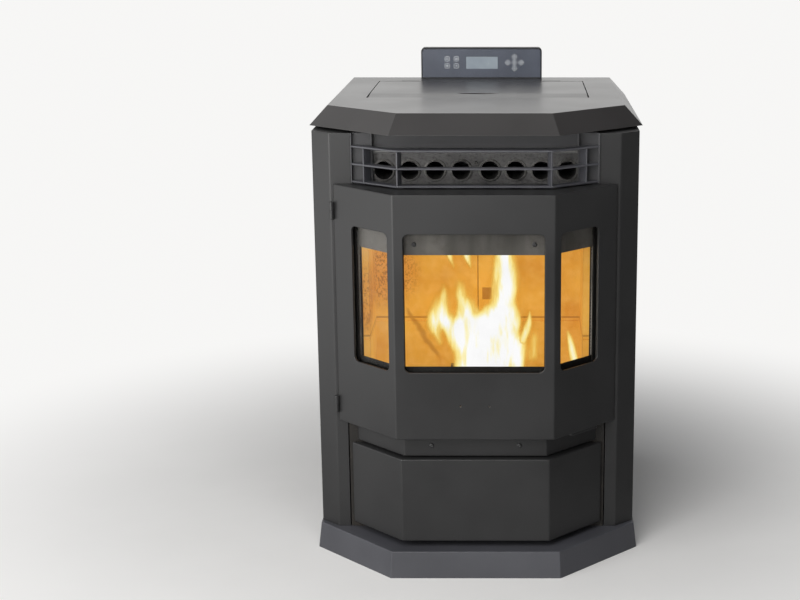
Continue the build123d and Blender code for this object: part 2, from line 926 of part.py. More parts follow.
outlet_floor_z = front_plate_top_z
cheek_half = strip_upper_inner_half - fit_gap
grille_half_width = cheek_half - outlet_sheet
grille_low_z = grille_top_bar_z - (grille_bars - 1) * grille_bar_pitch
grille_side_y = grille_front_y + (grille_half_width - grille_front_half) * math.tan(
    math.radians(grille_facet_angle)
)
with BuildPart() as outlet_grille:
    for bar in range(grille_bars):
        bar_z = grille_top_bar_z - bar * grille_bar_pitch
        for inset, mode in ((0, Mode.ADD), (grille_bar_depth, Mode.SUBTRACT)):
            prism(
                bay_points(
                    grille_front_half,
                    grille_half_width,
                    grille_front_y,
                    body_front_y + 2 + inset,
                    angle=grille_facet_angle,
                    inset=inset,
                ),
                bar_z,
                bar_z + grille_bar_thickness,
                mode,
            )
    facet_slope = math.tan(math.radians(grille_facet_angle))
    outer_post_y = grille_front_y + (grille_outer_post_x - grille_front_half) * facet_slope
    for side in (-1, 1):
        for post_x, post_y, post_angle in (
            (grille_front_half - grille_post_thickness, grille_front_y, grille_facet_angle / 2),
            (grille_outer_post_x, outer_post_y, grille_facet_angle),
        ):
            inward = Vector(-side * math.sin(math.radians(post_angle)), math.cos(math.radians(post_angle)))
            across = Vector(inward.Y, -inward.X) * (grille_post_thickness / 2)
            post_front = Vector(side * post_x, post_y) + inward * grille_post_setback
            post_back = post_front + inward * grille_post_depth
            prism(
                [
                    (corner.X, corner.Y)
                    for corner in (
                        post_front - across,
                        post_front + across,
                        post_back + across,
                        post_back - across,
                    )
                ],
                grille_low_z + grille_bar_thickness / 2,
                grille_top_bar_z + grille_bar_thickness / 2,
            )
save(outlet_grille, "outlet_grille")

with BuildPart() as outlet_frame:
    block(
        (-cheek_half, outlet_plate_y, outlet_floor_z + fit_gap),
        (cheek_half, outlet_plate_y + outlet_sheet, panel_top_z),
    )
    # upstand that carries the cap
    block(
        (-cap_carrier_half, outlet_plate_y, panel_top_z),
        (cap_carrier_half, outlet_plate_y + outlet_sheet, cap_under_z),
    )
    block(
        (-outlet_window_half, outlet_plate_y - 1, outlet_floor_z),
        (outlet_window_half, outlet_plate_y + outlet_sheet + 1, outlet_window_top_z),
        Mode.SUBTRACT,
    )
    for side in (-1, 1):
        # cheek beside the grille
        cheek_x = sorted((side * cheek_half, side * (cheek_half - outlet_sheet)))
        block(
            (cheek_x[0], body_front_y, outlet_floor_z + fit_gap),
            (cheek_x[1], outlet_plate_y + outlet_sheet, panel_top_z),
        )
        block(
            (cheek_x[0], grille_side_y, door_top_z + grille_door_gap),
            (cheek_x[1], body_front_y, panel_top_z),
        )
        # flange at the end of the tube bank
        lip_x = sorted((side * outlet_window_half, side * (outlet_window_half + outlet_sheet)))
        block(
            (lip_x[0], outlet_plate_y - outlet_lip_depth, outlet_window_top_z),
            (lip_x[1], outlet_plate_y, panel_top_z),
        )
    # boxed beam over the tubes
    block(
        (-outlet_window_half, outlet_plate_y - outlet_lip_depth, outlet_window_top_z),
        (outlet_window_half, outlet_plate_y, outlet_window_top_z + outlet_sheet),
    )
save(outlet_frame, "outlet_frame")

tube_places = [
    side * (tube_first_x + step * tube_pitch) for side in (-1, 1) for step in range(tube_count_side)
]
tube_plate_back_y = tube_plate_y + tube_plate_thickness
firebox_inner_half = firebox_half_width - firebox_sheet
firebox_inner_top_z = firebox_top_z - firebox_sheet
with BuildPart() as tube_plate:
    block(
        (-firebox_inner_half + fit_gap, tube_plate_y, outlet_floor_z - tube_plate_thickness),
        (firebox_inner_half - fit_gap, tube_plate_back_y, firebox_inner_top_z - fit_gap),
    )
    # floor of the outlet, resting on the front plate's top edge
    block(
        (-firebox_inner_half + fit_gap, body_front_y + firebox_sheet, outlet_floor_z - tube_plate_thickness),
        (firebox_inner_half - fit_gap, tube_plate_y, outlet_floor_z),
    )
    bead_z = outlet_window_top_z - tube_bead_radius - 1
    rod(
        (-outlet_window_half + 1, tube_plate_y, bead_z),
        (outlet_window_half - 1, tube_plate_y, bead_z),
        tube_bead_radius,
    )
    with BuildSketch(Plane.XZ.offset(-tube_plate_back_y)):
        with Locations([(place_x, tube_z) for place_x in tube_places]):
            Circle(tube_radius + weld_gap)
        with Locations((0, scraper_rod_z)):
            Circle(scraper_rod_radius + 2 * running_gap)
    extrude(amount=tube_plate_thickness + tube_bead_radius + 1, mode=Mode.SUBTRACT)
save(tube_plate, "tube_plate")

tube_front_y = tube_plate_y - tube_proud
tube_back_y = firebox_back_y + tube_back_proud
with BuildPart() as heat_tubes:
    with BuildSketch(Plane.XZ.offset(-tube_back_y)):
        with Locations([(place_x, tube_z) for place_x in tube_places]):
            Circle(tube_radius)
            Circle(tube_radius - tube_wall, mode=Mode.SUBTRACT)
    extrude(amount=tube_back_y - tube_front_y)
save(heat_tubes, "heat_tubes")

scraper_back_y = firebox_back_y - firebox_sheet - scraper_rest_gap
with BuildPart() as tube_scraper:
    block(
        (
            -firebox_inner_half + scraper_side_gap,
            scraper_back_y - scraper_thickness,
            tube_z - tube_radius - scraper_rim,
        ),
        (
            firebox_inner_half - scraper_side_gap,
            scraper_back_y,
            firebox_inner_top_z - scraper_top_gap,
        ),
    )
    with BuildSketch(Plane.XZ.offset(-scraper_back_y)):
        with Locations([(place_x, tube_z) for place_x in tube_places]):
            Circle(tube_radius + scraper_clearance)
    extrude(amount=scraper_thickness, mode=Mode.SUBTRACT)
    rod(
        (0, tube_plate_y - scraper_rod_proud, scraper_rod_z),
        (0, scraper_back_y - scraper_thickness / 2, scraper_rod_z),
        scraper_rod_radius,
    )
save(tube_scraper, "tube_scraper")

# ---------------------------------------------------------------- chute, auger tube, auger

chute_slope = math.radians(45)
brick_face_y = firebox_back_y - firebox_sheet - brick_thickness
auger_axis = Vector(0, math.cos(chute_slope), -math.sin(chute_slope))
auger_top = Vector(0, auger_top_y, auger_top_z)


def along_auger(distance):
    """Point on the auger's axis, measured down from the tube's upper end."""
    return auger_top + auger_axis * distance


def chute_profile(growth):
    """(y, z) outline of the chute from the firebox up to the auger tube, grown by growth."""
    half_z = (chute_height / 2 + growth) / math.cos(chute_slope)
    top_y = firebox_back_y + duct_depth + auger_tube_radius + growth
    rise = top_y - brick_face_y
    return [
        (brick_face_y, chute_outlet_z - half_z),
        (top_y, chute_outlet_z + rise - half_z),
        (top_y, chute_outlet_z + rise + half_z),
        (brick_face_y, chute_outlet_z + half_z),
    ]


throat_distance = (hopper_throat_y - auger_top_y) / math.cos(chute_slope)
with BuildPart() as auger_tube:
    side_prism(chute_profile(0), chute_half_width)
    rod(along_auger(0), along_auger(auger_tube_length), auger_tube_radius)
    side_prism(chute_profile(-chute_wall), chute_half_width - chute_wall, Mode.SUBTRACT)
    rod(
        along_auger(-1),
        along_auger(auger_tube_length + 1),
        auger_tube_radius - auger_tube_wall,
        Mode.SUBTRACT,
    )
    # feed opening under the hopper's throat
    block(
        (
            -hopper_throat_half + hopper_wall,
            hopper_throat_y - hopper_throat_half + hopper_wall,
            along_auger(throat_distance).Z,
        ),
        (
            hopper_throat_half - hopper_wall,
            hopper_throat_y + hopper_throat_half - hopper_wall,
            hopper_throat_top_z,
        ),
        Mode.SUBTRACT,
    )
    # end caps with the auger's bearings
    for low, high in (
        (0, auger_cap_thickness),
        (auger_tube_length - auger_cap_thickness, auger_tube_length),
    ):
        rod(along_auger(low), along_auger(high), auger_tube_radius)
        rod(
            along_auger(low - 1),
            along_auger(high + 1),
            auger_journal_radius + running_gap,
            Mode.SUBTRACT,
        )
save(auger_tube, "auger_tube")

flight_start = auger_cap_thickness + auger_upper_margin
flight_length = auger_tube_length - flight_start - auger_cap_thickness - auger_lower_margin
with BuildPart() as auger_screw:
    rod(
        along_auger(auger_cap_thickness + 1),
        along_auger(auger_tube_length - auger_cap_thickness - 1),
        auger_core_radius,
    )
    rod(along_auger(0), along_auger(auger_tube_length + auger_shaft_reach), auger_journal_radius)
    with BuildLine() as flight_path:
        Helix(
            auger_pitch,
            flight_length,
            auger_flight_radius,
            center=along_auger(flight_start),
            direction=auger_axis,
        )
    flight_depth = auger_flight_radius - auger_core_radius + 2
    start = flight_path.line @ 0
    inward = (along_auger(flight_start) - start).normalized()
    section_plane = Plane(origin=start, x_dir=inward, z_dir=flight_path.line % 0)
    with BuildSketch(section_plane) as flight_section:
        with Locations((flight_depth / 2, 0)):
            Rectangle(flight_depth, auger_flight_thickness)
    sweep(flight_section.sketch, path=flight_path.line, is_frenet=True)
save(auger_screw, "auger_screw")

with BuildPart() as auger_motor:
    motor_start = auger_tube_length + fit_gap
    motor_end = motor_start + auger_motor_length
    rod(along_auger(motor_start), along_auger(motor_end), auger_motor_radius)
    rod(
        along_auger(motor_end),
        along_auger(motor_end + auger_rotor_length),
        auger_rotor_radius,
    )
    rod(
        along_auger(motor_start - 1),
        along_auger(auger_tube_length + auger_shaft_reach + 2),
        auger_journal_radius + running_gap,
        Mode.SUBTRACT,
    )
save(auger_motor, "auger_motor")

# ---------------------------------------------------------------- firebox

port_low_y = exhaust_duct_front_y
port_high_y = exhaust_duct_front_y + exhaust_duct_leg
duct_outer_x = -firebox_half_width - exhaust_duct_width
duct_back_y = exhaust_y + exhaust_radius
duct_leg = [
    (port_low_y, exhaust_duct_bottom_z),
    (duct_back_y, exhaust_duct_bottom_z),
    (duct_back_y, exhaust_duct_bottom_z + exhaust_duct_height),
    (port_high_y, exhaust_duct_bottom_z + exhaust_duct_height),
    (port_high_y, firebox_inner_top_z),
    (port_low_y, firebox_inner_top_z),
]


def exhaust_duct_prism(inset, mode=Mode.ADD):
    """L-shaped gas duct on the firebox's left side, moved in by inset."""
    with BuildSketch(Plane.YZ.offset(duct_outer_x + inset)) as profile:
        with BuildLine():
            Polyline(duct_leg, close=True)
        make_face()
        if inset:
            offset(amount=-inset, kind=Kind.INTERSECTION, mode=Mode.REPLACE)
    extrude(profile.sketch, amount=exhaust_duct_width - 2 * inset, mode=mode)


with BuildPart() as firebox:
    block(
        (-firebox_half_width, body_front_y + firebox_sheet, firebox_floor_z),
        (firebox_half_width, firebox_back_y, firebox_top_z),
    )
    block(
        (-firebox_inner_half, body_front_y, firebox_floor_z + firebox_sheet),
        (firebox_inner_half, firebox_back_y - firebox_sheet, firebox_inner_top_z),
        Mode.SUBTRACT,
    )
    # set back around the outlet
    block(
        (-firebox_half_width - 1, body_front_y, outlet_floor_z),
        (firebox_half_width + 1, outlet_plate_y + outlet_sheet + fit_gap, firebox_top_z + 1),
        Mode.SUBTRACT,
    )
    exhaust_duct_prism(0)
    exhaust_duct_prism(exhaust_wall, Mode.SUBTRACT)
    # gas port beside the tubes
    block(
        (
            duct_outer_x + exhaust_duct_width - exhaust_wall - 1,
            port_low_y + exhaust_port_margin,
            exhaust_port_bottom_z,
        ),
        (
            -firebox_inner_half + 1,
            port_high_y - exhaust_port_margin,
            firebox_inner_top_z - exhaust_port_margin,
        ),
        Mode.SUBTRACT,
    )
    # round outlet to the exhaust blower
    rod(
        (-firebox_half_width - exhaust_wall - 1, exhaust_y, exhaust_z),
        (-firebox_half_width + 1, exhaust_y, exhaust_z),
        exhaust_inlet_radius,
        Mode.SUBTRACT,
    )
    with BuildSketch(Plane.XZ.offset(-firebox_back_y)):
        with Locations([(place_x, tube_z) for place_x in tube_places]):
            Circle(tube_radius + weld_gap)
    extrude(amount=firebox_sheet, mode=Mode.SUBTRACT)
    side_prism(chute_profile(chute_cut_gap), chute_half_width + chute_cut_gap, Mode.SUBTRACT)
    # burn pot seat and ash slots in the floor
    block(
        (-pot_half_width - 1, pot_y - pot_half_depth - 1, firebox_floor_z - 1),
        (pot_half_width + 1, pot_y + pot_half_depth + 1, firebox_floor_z + firebox_sheet + 1),
        Mode.SUBTRACT,
    )
    with BuildSketch(Plane.XY.offset(firebox_floor_z)):
        with Locations((-ash_slot_x, pot_y), (ash_slot_x, pot_y)):
            RectangleRounded(ash_slot_width, ash_slot_depth, ash_slot_radius)
    extrude(amount=firebox_sheet, mode=Mode.SUBTRACT)
save(firebox, "firebox")

latch_slot_low = (latch_x - latch_sweep_x, latch_x + latch_tongue_width)
tongue_bottom_z = door_bottom_z + door_sheet + fit_gap
tongue_top_z = tongue_bottom_z + latch_tongue_thickness
with BuildPart() as firebox_front:
    block(
        (-front_plate_half, body_front_y, front_plate_bottom_z),
        (front_plate_half, body_front_y + firebox_sheet, front_plate_top_z),
    )
    with BuildSketch(Plane.XZ.offset(-body_front_y - firebox_sheet)):
        with Locations((0, (opening_bottom_z + opening_top_z) / 2)):
            RectangleRounded(2 * opening_half, opening_top_z - opening_bottom_z, opening_radius)
        with Locations((sum(latch_slot_low) / 2, (tongue_bottom_z + tongue_top_z) / 2)):
            RectangleRounded(
                latch_slot_low[1] - latch_slot_low[0],
                latch_tongue_thickness + 2 * latch_slot_room,
                latch_slot_room,
            )
    extrude(amount=firebox_sheet, mode=Mode.SUBTRACT)
save(firebox_front, "firebox_front")

brick_bottom_z = firebox_floor_z + firebox_sheet
side_brick_back_y = brick_face_y - brick_joint
side_brick_front_y = body_front_y + firebox_sheet + 2
with BuildPart() as firebricks:
    for low_z, high_z in (
        (brick_bottom_z, brick_split_z - brick_joint / 2),
        (brick_split_z + brick_joint / 2, brick_top_z),
    ):
        for side in (-1, 1):
            back_x = sorted((side * brick_joint / 2, side * firebox_inner_half))
            block(
                (back_x[0], brick_face_y, low_z),
                (back_x[1], brick_face_y + brick_thickness, high_z),
            )
            side_x = sorted((side * (firebox_inner_half - brick_thickness), side * firebox_inner_half))
            block(
                (side_x[0], side_brick_front_y, low_z),
                (side_x[1], side_brick_back_y, high_z),
            )
    side_prism(chute_profile(chute_cut_gap), chute_half_width + chute_cut_gap, Mode.SUBTRACT)
save(firebricks, "firebricks")

with BuildPart() as burn_pot:
    pot_low = (-pot_half_width, pot_y - pot_half_depth, pot_bottom_z)
    pot_high = (pot_half_width, pot_y + pot_half_depth, pot_rim_z)
    block(pot_low, pot_high)
    seat_z = firebox_floor_z + firebox_sheet
    block(
        (pot_low[0] - pot_flange, pot_low[1] - pot_flange, seat_z),
        (pot_high[0] + pot_flange, pot_high[1] + pot_flange, seat_z + pot_flange_thickness),
    )
    block(
        (pot_low[0] + pot_wall, pot_low[1] + pot_wall, pot_bottom_z + pot_wall),
        (pot_high[0] - pot_wall, pot_high[1] - pot_wall, pot_rim_z + 1),
        Mode.SUBTRACT,
    )
    with BuildSketch(Plane.XY.offset(pot_bottom_z)):
        with Locations((0, pot_y)):
            with GridLocations(pot_hole_pitch, pot_hole_pitch, 7, 5):
                Circle(pot_hole_radius)
    extrude(amount=pot_wall, mode=Mode.SUBTRACT)
save(burn_pot, "burn_pot")

air_box_bottom_z = firebox_floor_z - air_box_height
air_box_back_y = pot_y + air_box_half_depth
igniter_z = pot_bottom_z - igniter_radius - 0.5
with BuildPart() as air_intake:
    block(
        (-air_box_half_width, pot_y - air_box_half_depth, air_box_bottom_z),
        (air_box_half_width, air_box_back_y, firebox_floor_z),
    )
    block(
        (
            -air_box_half_width + air_box_sheet,
            pot_y - air_box_half_depth + air_box_sheet,
            air_box_bottom_z + air_box_sheet,
        ),
        (
            air_box_half_width - air_box_sheet,
            air_box_back_y - air_box_sheet,
            firebox_floor_z + 1,
        ),
        Mode.SUBTRACT,
    )
    intake_end_y = body_back_y + intake_length
    rod((0, air_box_back_y - air_box_sheet, intake_z), (0, intake_end_y, intake_z), intake_radius)
    rod(
        (0, air_box_back_y - air_box_sheet - 1, intake_z),
        (0, intake_end_y + 1, intake_z),
        intake_radius - intake_wall,
        Mode.SUBTRACT,
    )
    back_ring(0, intake_z, intake_radius)
    rod(
        (igniter_x, air_box_back_y - 5, igniter_z),
        (igniter_x, air_box_back_y + 5, igniter_z),
        igniter_radius + weld_gap,
        Mode.SUBTRACT,
    )
save(air_intake, "air_intake")

compartment_back_y = firebox_back_y
with BuildPart() as igniter:
    igniter_back_y = compartment_back_y - compartment_sheet - 1
    rod(
        (igniter_x, igniter_back_y - igniter_length, igniter_z),
        (igniter_x, igniter_back_y, igniter_z),
        igniter_radius,
    )
    chamfer(igniter.edges().group_by(Axis.Y)[0], 1)
save(igniter, "igniter")

# ---------------------------------------------------------------- bay door

with BuildPart() as door_shell:
    prism(door_bay(0, door_back_y), door_bottom_z, door_top_z, bend=door_bend_radius)
    for face in (door_shell.faces().sort_by(Axis.Z)[0], door_shell.faces().sort_by(Axis.Z)[-1]):
        fillet(front_edges_of(face), door_edge_radius)
    prism(
        door_bay(door_sheet, door_back_y + 10),
        door_bottom_z + door_sheet,
        door_top_z - door_sheet,
        Mode.SUBTRACT,
        bend=door_bend_radius - door_sheet,
    )
    for side in window_sides:
        with BuildSketch(window_plane(side)) as window:
            RectangleRounded(window_width(side), window_height, window_radius)
        extrude(window.sketch, amount=2 * door_sheet, both=True, mode=Mode.SUBTRACT)
    for hole_x in (-handle_hole_x, handle_hole_x):
        rod(
            (hole_x, door_front_y - 1, handle_hole_z),
            (hole_x, door_front_y + door_sheet + 1, handle_hole_z),
            handle_hole_radius,
            Mode.SUBTRACT,
        )
    # hinge knuckles along the left edge
    for knuckle_z in (door_bottom_z + hinge_inset_z, door_top_z - hinge_inset_z - knuckle_length):
        rod((hinge_x, hinge_y, knuckle_z), (hinge_x, hinge_y, knuckle_z + knuckle_length), knuckle_radius)
        rod(
            (hinge_x, hinge_y, knuckle_z - 1),
            (hinge_x, hinge_y, knuckle_z + knuckle_length - hinge_cap_thickness),
            hinge_pin_radius + running_gap,
            Mode.SUBTRACT,
        )
    rod(
        (latch_x, latch_y, door_bottom_z - 1),
        (latch_x, latch_y, door_bottom_z + door_sheet + 1),
        latch_spindle_radius + running_gap,
        Mode.SUBTRACT,
    )
save(door_shell, "door_shell")

sheet_miter = door_sheet / math.sin(math.radians(bay_angle))
frame_half = door_half_width - sheet_miter - door_frame_thickness - fit_gap
rope_outer_half = opening_half + 2 + rope_width
rope_top_z = opening_top_z + 2 + rope_width
rope_bottom_z = opening_bottom_z - 2 - rope_width
with BuildPart() as door_frame:
    block(
        (-frame_half, door_back_y - door_frame_thickness, door_bottom_z + door_sheet),
        (frame_half, door_back_y, door_top_z - door_sheet),
    )
    with BuildSketch(Plane.XZ.offset(-door_back_y)):
        with Locations((0, (rope_top_z + rope_bottom_z) / 2)):
            RectangleRounded(2 * rope_outer_half, rope_top_z - rope_bottom_z, rope_width)
        notch_x = (latch_x - latch_sweep_x - 4, latch_x + latch_tongue_width)
        with Locations((sum(notch_x) / 2, door_bottom_z + door_sheet + latch_tongue_thickness / 2)):
            Rectangle(notch_x[1] - notch_x[0], latch_tongue_thickness + 4)
    extrude(amount=door_frame_thickness, mode=Mode.SUBTRACT)
save(door_frame, "door_frame")

rope_back_y = body_front_y - fit_gap
with BuildPart() as door_rope:
    with BuildSketch(Plane.XZ.offset(-rope_back_y)):
        with Locations((0, (rope_top_z + rope_bottom_z) / 2)):
            RectangleRounded(
                2 * (rope_outer_half - weld_gap),
                rope_top_z - rope_bottom_z - 2 * weld_gap,
                rope_width - weld_gap,
            )
            RectangleRounded(
                2 * (rope_outer_half - rope_width),
                rope_top_z - rope_bottom_z - 2 * rope_width,
                3,
                mode=Mode.SUBTRACT,
            )
    extrude(amount=rope_depth)
    fillet(door_rope.faces().sort_by(Axis.Y)[0].edges(), rope_edge_radius)
save(door_rope, "door_rope")

with BuildPart() as door_glass:
    for side in window_sides:
        with BuildSketch(window_plane(side, door_sheet + glass_rope_thickness)) as pane:
            RectangleRounded(pane_width(side), pane_height, pane_corner_radius)
        extrude(pane.sketch, amount=-glass_thickness)
save(door_glass, "door_glass")

with BuildPart() as glass_rope:
    for side in window_sides:
        with BuildSketch(window_plane(side, door_sheet)) as ring:
            RectangleRounded(pane_width(side), pane_height, pane_corner_radius)
            RectangleRounded(
                pane_width(side) - 2 * glass_rope_width,
                pane_height - 2 * glass_rope_width,
                window_radius,
                mode=Mode.SUBTRACT,
            )
        extrude(ring.sketch, amount=-glass_rope_thickness)
save(glass_rope, "glass_rope")

retainer_depth = door_sheet + glass_rope_thickness + glass_thickness
with BuildPart() as glass_retainers:
    for side in window_sides:
        with BuildSketch(window_plane(side, retainer_depth)) as bars:
            with GridLocations(pane_width(side) - retainer_width, 0, 2, 1):
                Rectangle(retainer_width, pane_height - pane_corner_radius)
        extrude(bars.sketch, amount=-retainer_thickness)
save(glass_retainers, "glass_retainers")

wash_inset = retainer_depth + retainer_thickness + wash_plate_gap
wash_back_y = rope_back_y - rope_depth - wash_rope_gap
wash_screws = [
    (side * wash_screw_x, door_front_y + wash_inset, wash_screw_z) for side in (-1, 1)
]
with BuildPart() as air_wash_plate:
    prism(door_bay(wash_inset, wash_back_y), wash_plate_bottom_z, wash_plate_top_z)
    prism(
        door_bay(wash_inset + wash_plate_sheet, wash_back_y + 10),
        wash_plate_bottom_z - 1,
        wash_plate_top_z + 1,
        Mode.SUBTRACT,
    )
    prism(
        door_bay(door_sheet, wash_back_y),
        wash_plate_top_z - wash_plate_sheet,
        wash_plate_top_z,
        bend=door_bend_radius - door_sheet,
    )
    prism(
        door_bay(wash_inset + wash_plate_sheet, wash_back_y + 10),
        wash_plate_top_z - wash_plate_sheet - 1,
        wash_plate_top_z + 1,
        Mode.SUBTRACT,
    )
    for place in wash_screws:
        screw_hole(place, wash_plate_sheet + 1)
save(air_wash_plate, "air_wash_plate")

with BuildPart() as wash_plate_screws:
    for place in wash_screws:
        screw(place, 1)
save(wash_plate_screws, "wash_plate_screws")

with BuildPart() as glass_sill:
    prism(door_bay(wash_inset, wash_back_y), sill_bottom_z, sill_top_z)
    prism(
        door_bay(wash_inset + wash_plate_sheet, wash_back_y + 10),
        sill_bottom_z - 1,
        sill_top_z + 1,
        Mode.SUBTRACT,
    )
    prism(
        door_bay(door_sheet, wash_back_y),
        sill_bottom_z,
        sill_bottom_z + wash_plate_sheet,
        bend=door_bend_radius - door_sheet,
    )
    prism(
        door_bay(wash_inset + wash_plate_sheet, wash_back_y + 10),
        sill_bottom_z - 1,
        sill_bottom_z + wash_plate_sheet + 1,
        Mode.SUBTRACT,
    )
save(glass_sill, "glass_sill")

with BuildPart() as door_hinge:
    for knuckle_z in (door_bottom_z + hinge_inset_z, door_top_z - hinge_inset_z - knuckle_length):
        lug_top_z = knuckle_z - fit_gap
        rod((hinge_x, hinge_y, lug_top_z - knuckle_length), (hinge_x, hinge_y, lug_top_z), lug_radius)
        block(
            (hinge_x - hinge_pin_radius, hinge_y, lug_top_z - knuckle_length),
            (hinge_x + hinge_pin_radius, body_front_y, lug_top_z),
        )
        rod((hinge_x, hinge_y, lug_top_z), (hinge_x, hinge_y, lug_top_z + hinge_pin_length), hinge_pin_radius)
save(door_hinge, "door_hinge")

lever_top_z = door_bottom_z - fit_gap
lever_direction = Vector(-math.cos(math.radians(bay_angle)), -math.sin(math.radians(bay_angle)), 0)
lever_plane = Plane(
    origin=(latch_x, latch_y, lever_top_z - latch_lever_thickness),
    x_dir=lever_direction,
    z_dir=(0, 0, 1),
)
with BuildPart() as door_latch:
    with BuildSketch(lever_plane):
        with Locations((latch_lever_length / 2, 0)):
            SlotCenterToCenter(latch_lever_length, latch_lever_width)
    extrude(amount=latch_lever_thickness)
    rod(
        (latch_x, latch_y, lever_top_z - latch_lever_thickness),
        (latch_x, latch_y, tongue_top_z),
        latch_spindle_radius,
    )
    with BuildSketch(Plane.XY.offset(tongue_bottom_z)):
        with Locations((latch_x, latch_y + latch_tongue_reach / 2 - latch_tongue_width / 4)):
            SlotOverall(latch_tongue_reach + latch_tongue_width / 2, latch_tongue_width, rotation=90)
    extrude(amount=latch_tongue_thickness)
save(door_latch, "door_latch")

# ---------------------------------------------------------------- ash drawer and compartment


def drawer_bay(inset, back_y):
    """The drawer's plan outline, moved inwards by inset and open to back_y."""
    return bay_points(drawer_front_half, drawer_half_width, drawer_front_y, back_y, inset=inset)


with BuildPart() as drawer_front:
    prism(drawer_bay(0, drawer_back_y), drawer_bottom_z, drawer_top_z, bend=drawer_bend_radius)
    for face in (drawer_front.faces().sort_by(Axis.Z)[0], drawer_front.faces().sort_by(Axis.Z)[-1]):
        fillet(front_edges_of(face), drawer_edge_radius)
    prism(
        drawer_bay(drawer_sheet, drawer_back_y + 10),
        drawer_bottom_z + drawer_sheet,
        drawer_top_z - drawer_sheet,
        Mode.SUBTRACT,
        bend=drawer_bend_radius - drawer_sheet,
    )
save(drawer_front, "drawer_front")

pan_bottom_z = plinth_height + compartment_sheet + rail_height + fit_gap
pan_low = (-pan_half_width, drawer_back_y + pan_plate, pan_bottom_z)
pan_high = (pan_half_width, drawer_back_y + pan_plate + pan_length, pan_bottom_z + pan_height)
with BuildPart() as ash_pan:
    block(
        (-drawer_half_width + drawer_sheet, drawer_back_y, drawer_bottom_z + drawer_sheet),
        (drawer_half_width - drawer_sheet, drawer_back_y + pan_plate, drawer_top_z - drawer_sheet),
    )
    block(pan_low, pan_high)
    block(
        (pan_low[0] + pan_sheet, pan_low[1] + pan_sheet, pan_low[2] + pan_sheet),
        (pan_high[0] - pan_sheet, pan_high[1] - pan_sheet, pan_high[2] + 1),
        Mode.SUBTRACT,
    )
save(ash_pan, "ash_pan")

with BuildPart() as ash_compartment:
    inner_half = compartment_half_width - compartment_sheet
    block(
        (-compartment_half_width, body_front_y, plinth_height),
        (compartment_half_width, compartment_back_y, firebox_floor_z),
    )
    block(
        (-inner_half, body_front_y - 1, plinth_height + compartment_sheet),
        (inner_half, compartment_back_y - compartment_sheet, firebox_floor_z + 1),
        Mode.SUBTRACT,
    )
    # front flange with the drawer's opening
    block(
        (-front_plate_half, body_front_y, plinth_height),
        (front_plate_half, body_front_y + compartment_sheet, front_plate_bottom_z - fit_gap),
    )
    block(
        (-compartment_opening_half, body_front_y - 1, compartment_opening_bottom_z),
        (compartment_opening_half, body_front_y + compartment_sheet + 1, compartment_opening_top_z),
        Mode.SUBTRACT,
    )
    # room under the firebox's front plate
    block(
        (-front_plate_half - 1, body_front_y - 1, front_plate_bottom_z - fit_gap),
        (front_plate_half + 1, body_front_y + firebox_sheet + fit_gap, firebox_floor_z + 1),
        Mode.SUBTRACT,
    )
    # room for the turning tongue of the door's latch
    block(
        (latch_slot_low[0], body_front_y - 1, tongue_bottom_z - 2),
        (latch_slot_low[1], latch_y + latch_tongue_reach + 3, firebox_floor_z + 1),
        Mode.SUBTRACT,
    )
    for side in (-1, 1):
        rail_x = sorted((side * (pan_half_width - rail_width), side * inner_half))
        block(
            (rail_x[0], body_front_y + compartment_sheet, plinth_height + compartment_sheet),
            (
                rail_x[1],
                compartment_back_y - compartment_sheet,
                plinth_height + compartment_sheet + rail_height,
            ),
        )
    rod(
        (0, compartment_back_y - compartment_sheet - 1, intake_z),
        (0, compartment_back_y + 1, intake_z),
        intake_radius + weld_gap,
        Mode.SUBTRACT,
    )
save(ash_compartment, "ash_compartment")

recess_front_y = drawer_front_y + recess_inset
recess_front_half = drawer_front_half - recess_inset * math.tan(math.radians(bay_angle / 2))
recess_half_width = recess_front_half + (body_front_y - recess_front_y) / math.tan(math.radians(bay_angle))
recess_screws = [(side * recess_screw_x, recess_front_y, recess_screw_z) for side in (-1, 1)]


def recess_bay(inset, back_y):
    """The recess panel's plan outline, moved inwards by inset and open to back_y."""
    return bay_points(recess_front_half, recess_half_width, recess_front_y, back_y, inset=inset)


with BuildPart() as recess_panel:
    prism(recess_bay(0, body_front_y), recess_bottom_z, recess_top_z, bend=recess_bend_radius)
    prism(
        recess_bay(recess_sheet, body_front_y + 10),
        recess_bottom_z + recess_sheet,
        recess_top_z - recess_sheet,
        Mode.SUBTRACT,
        bend=recess_bend_radius - recess_sheet,
    )
    for place in recess_screws:
        screw_hole(place, recess_sheet + 1)
save(recess_panel, "recess_panel")

with BuildPart() as casing_screws:
    for place in back_screws:
        screw(place, -1)
    for place in recess_screws:
        screw(place, 1, small_screw_head_radius)
save(casing_screws, "casing_screws")

# ---------------------------------------------------------------- hopper

collar_half = lid_half_width + hopper_collar_gap
collar_front_y = lid_front_y - hopper_collar_gap
collar_back_y = lid_back_y + hopper_back_room


def ring_corners(half, front_y, back_y, thickness):
    """Corners of the four mitred sheets round a rectangular passage, a seam apart."""
    sheets = []
    for edge_y, way in ((front_y, -1), (back_y, 1)):
        outer_y = edge_y + way * thickness
        inner_x = half - weld_gap
        outer_x = half + thickness - weld_gap
        sheets.append([(-inner_x, edge_y), (inner_x, edge_y), (outer_x, outer_y), (-outer_x, outer_y)])
    for way in (-1, 1):
        outer_x = way * (half + thickness)
        sheets.append(
            [
                (way * half, front_y),
                (way * half, back_y),
                (outer_x, back_y + thickness),
                (outer_x, front_y - thickness),
            ]
        )
    return sheets


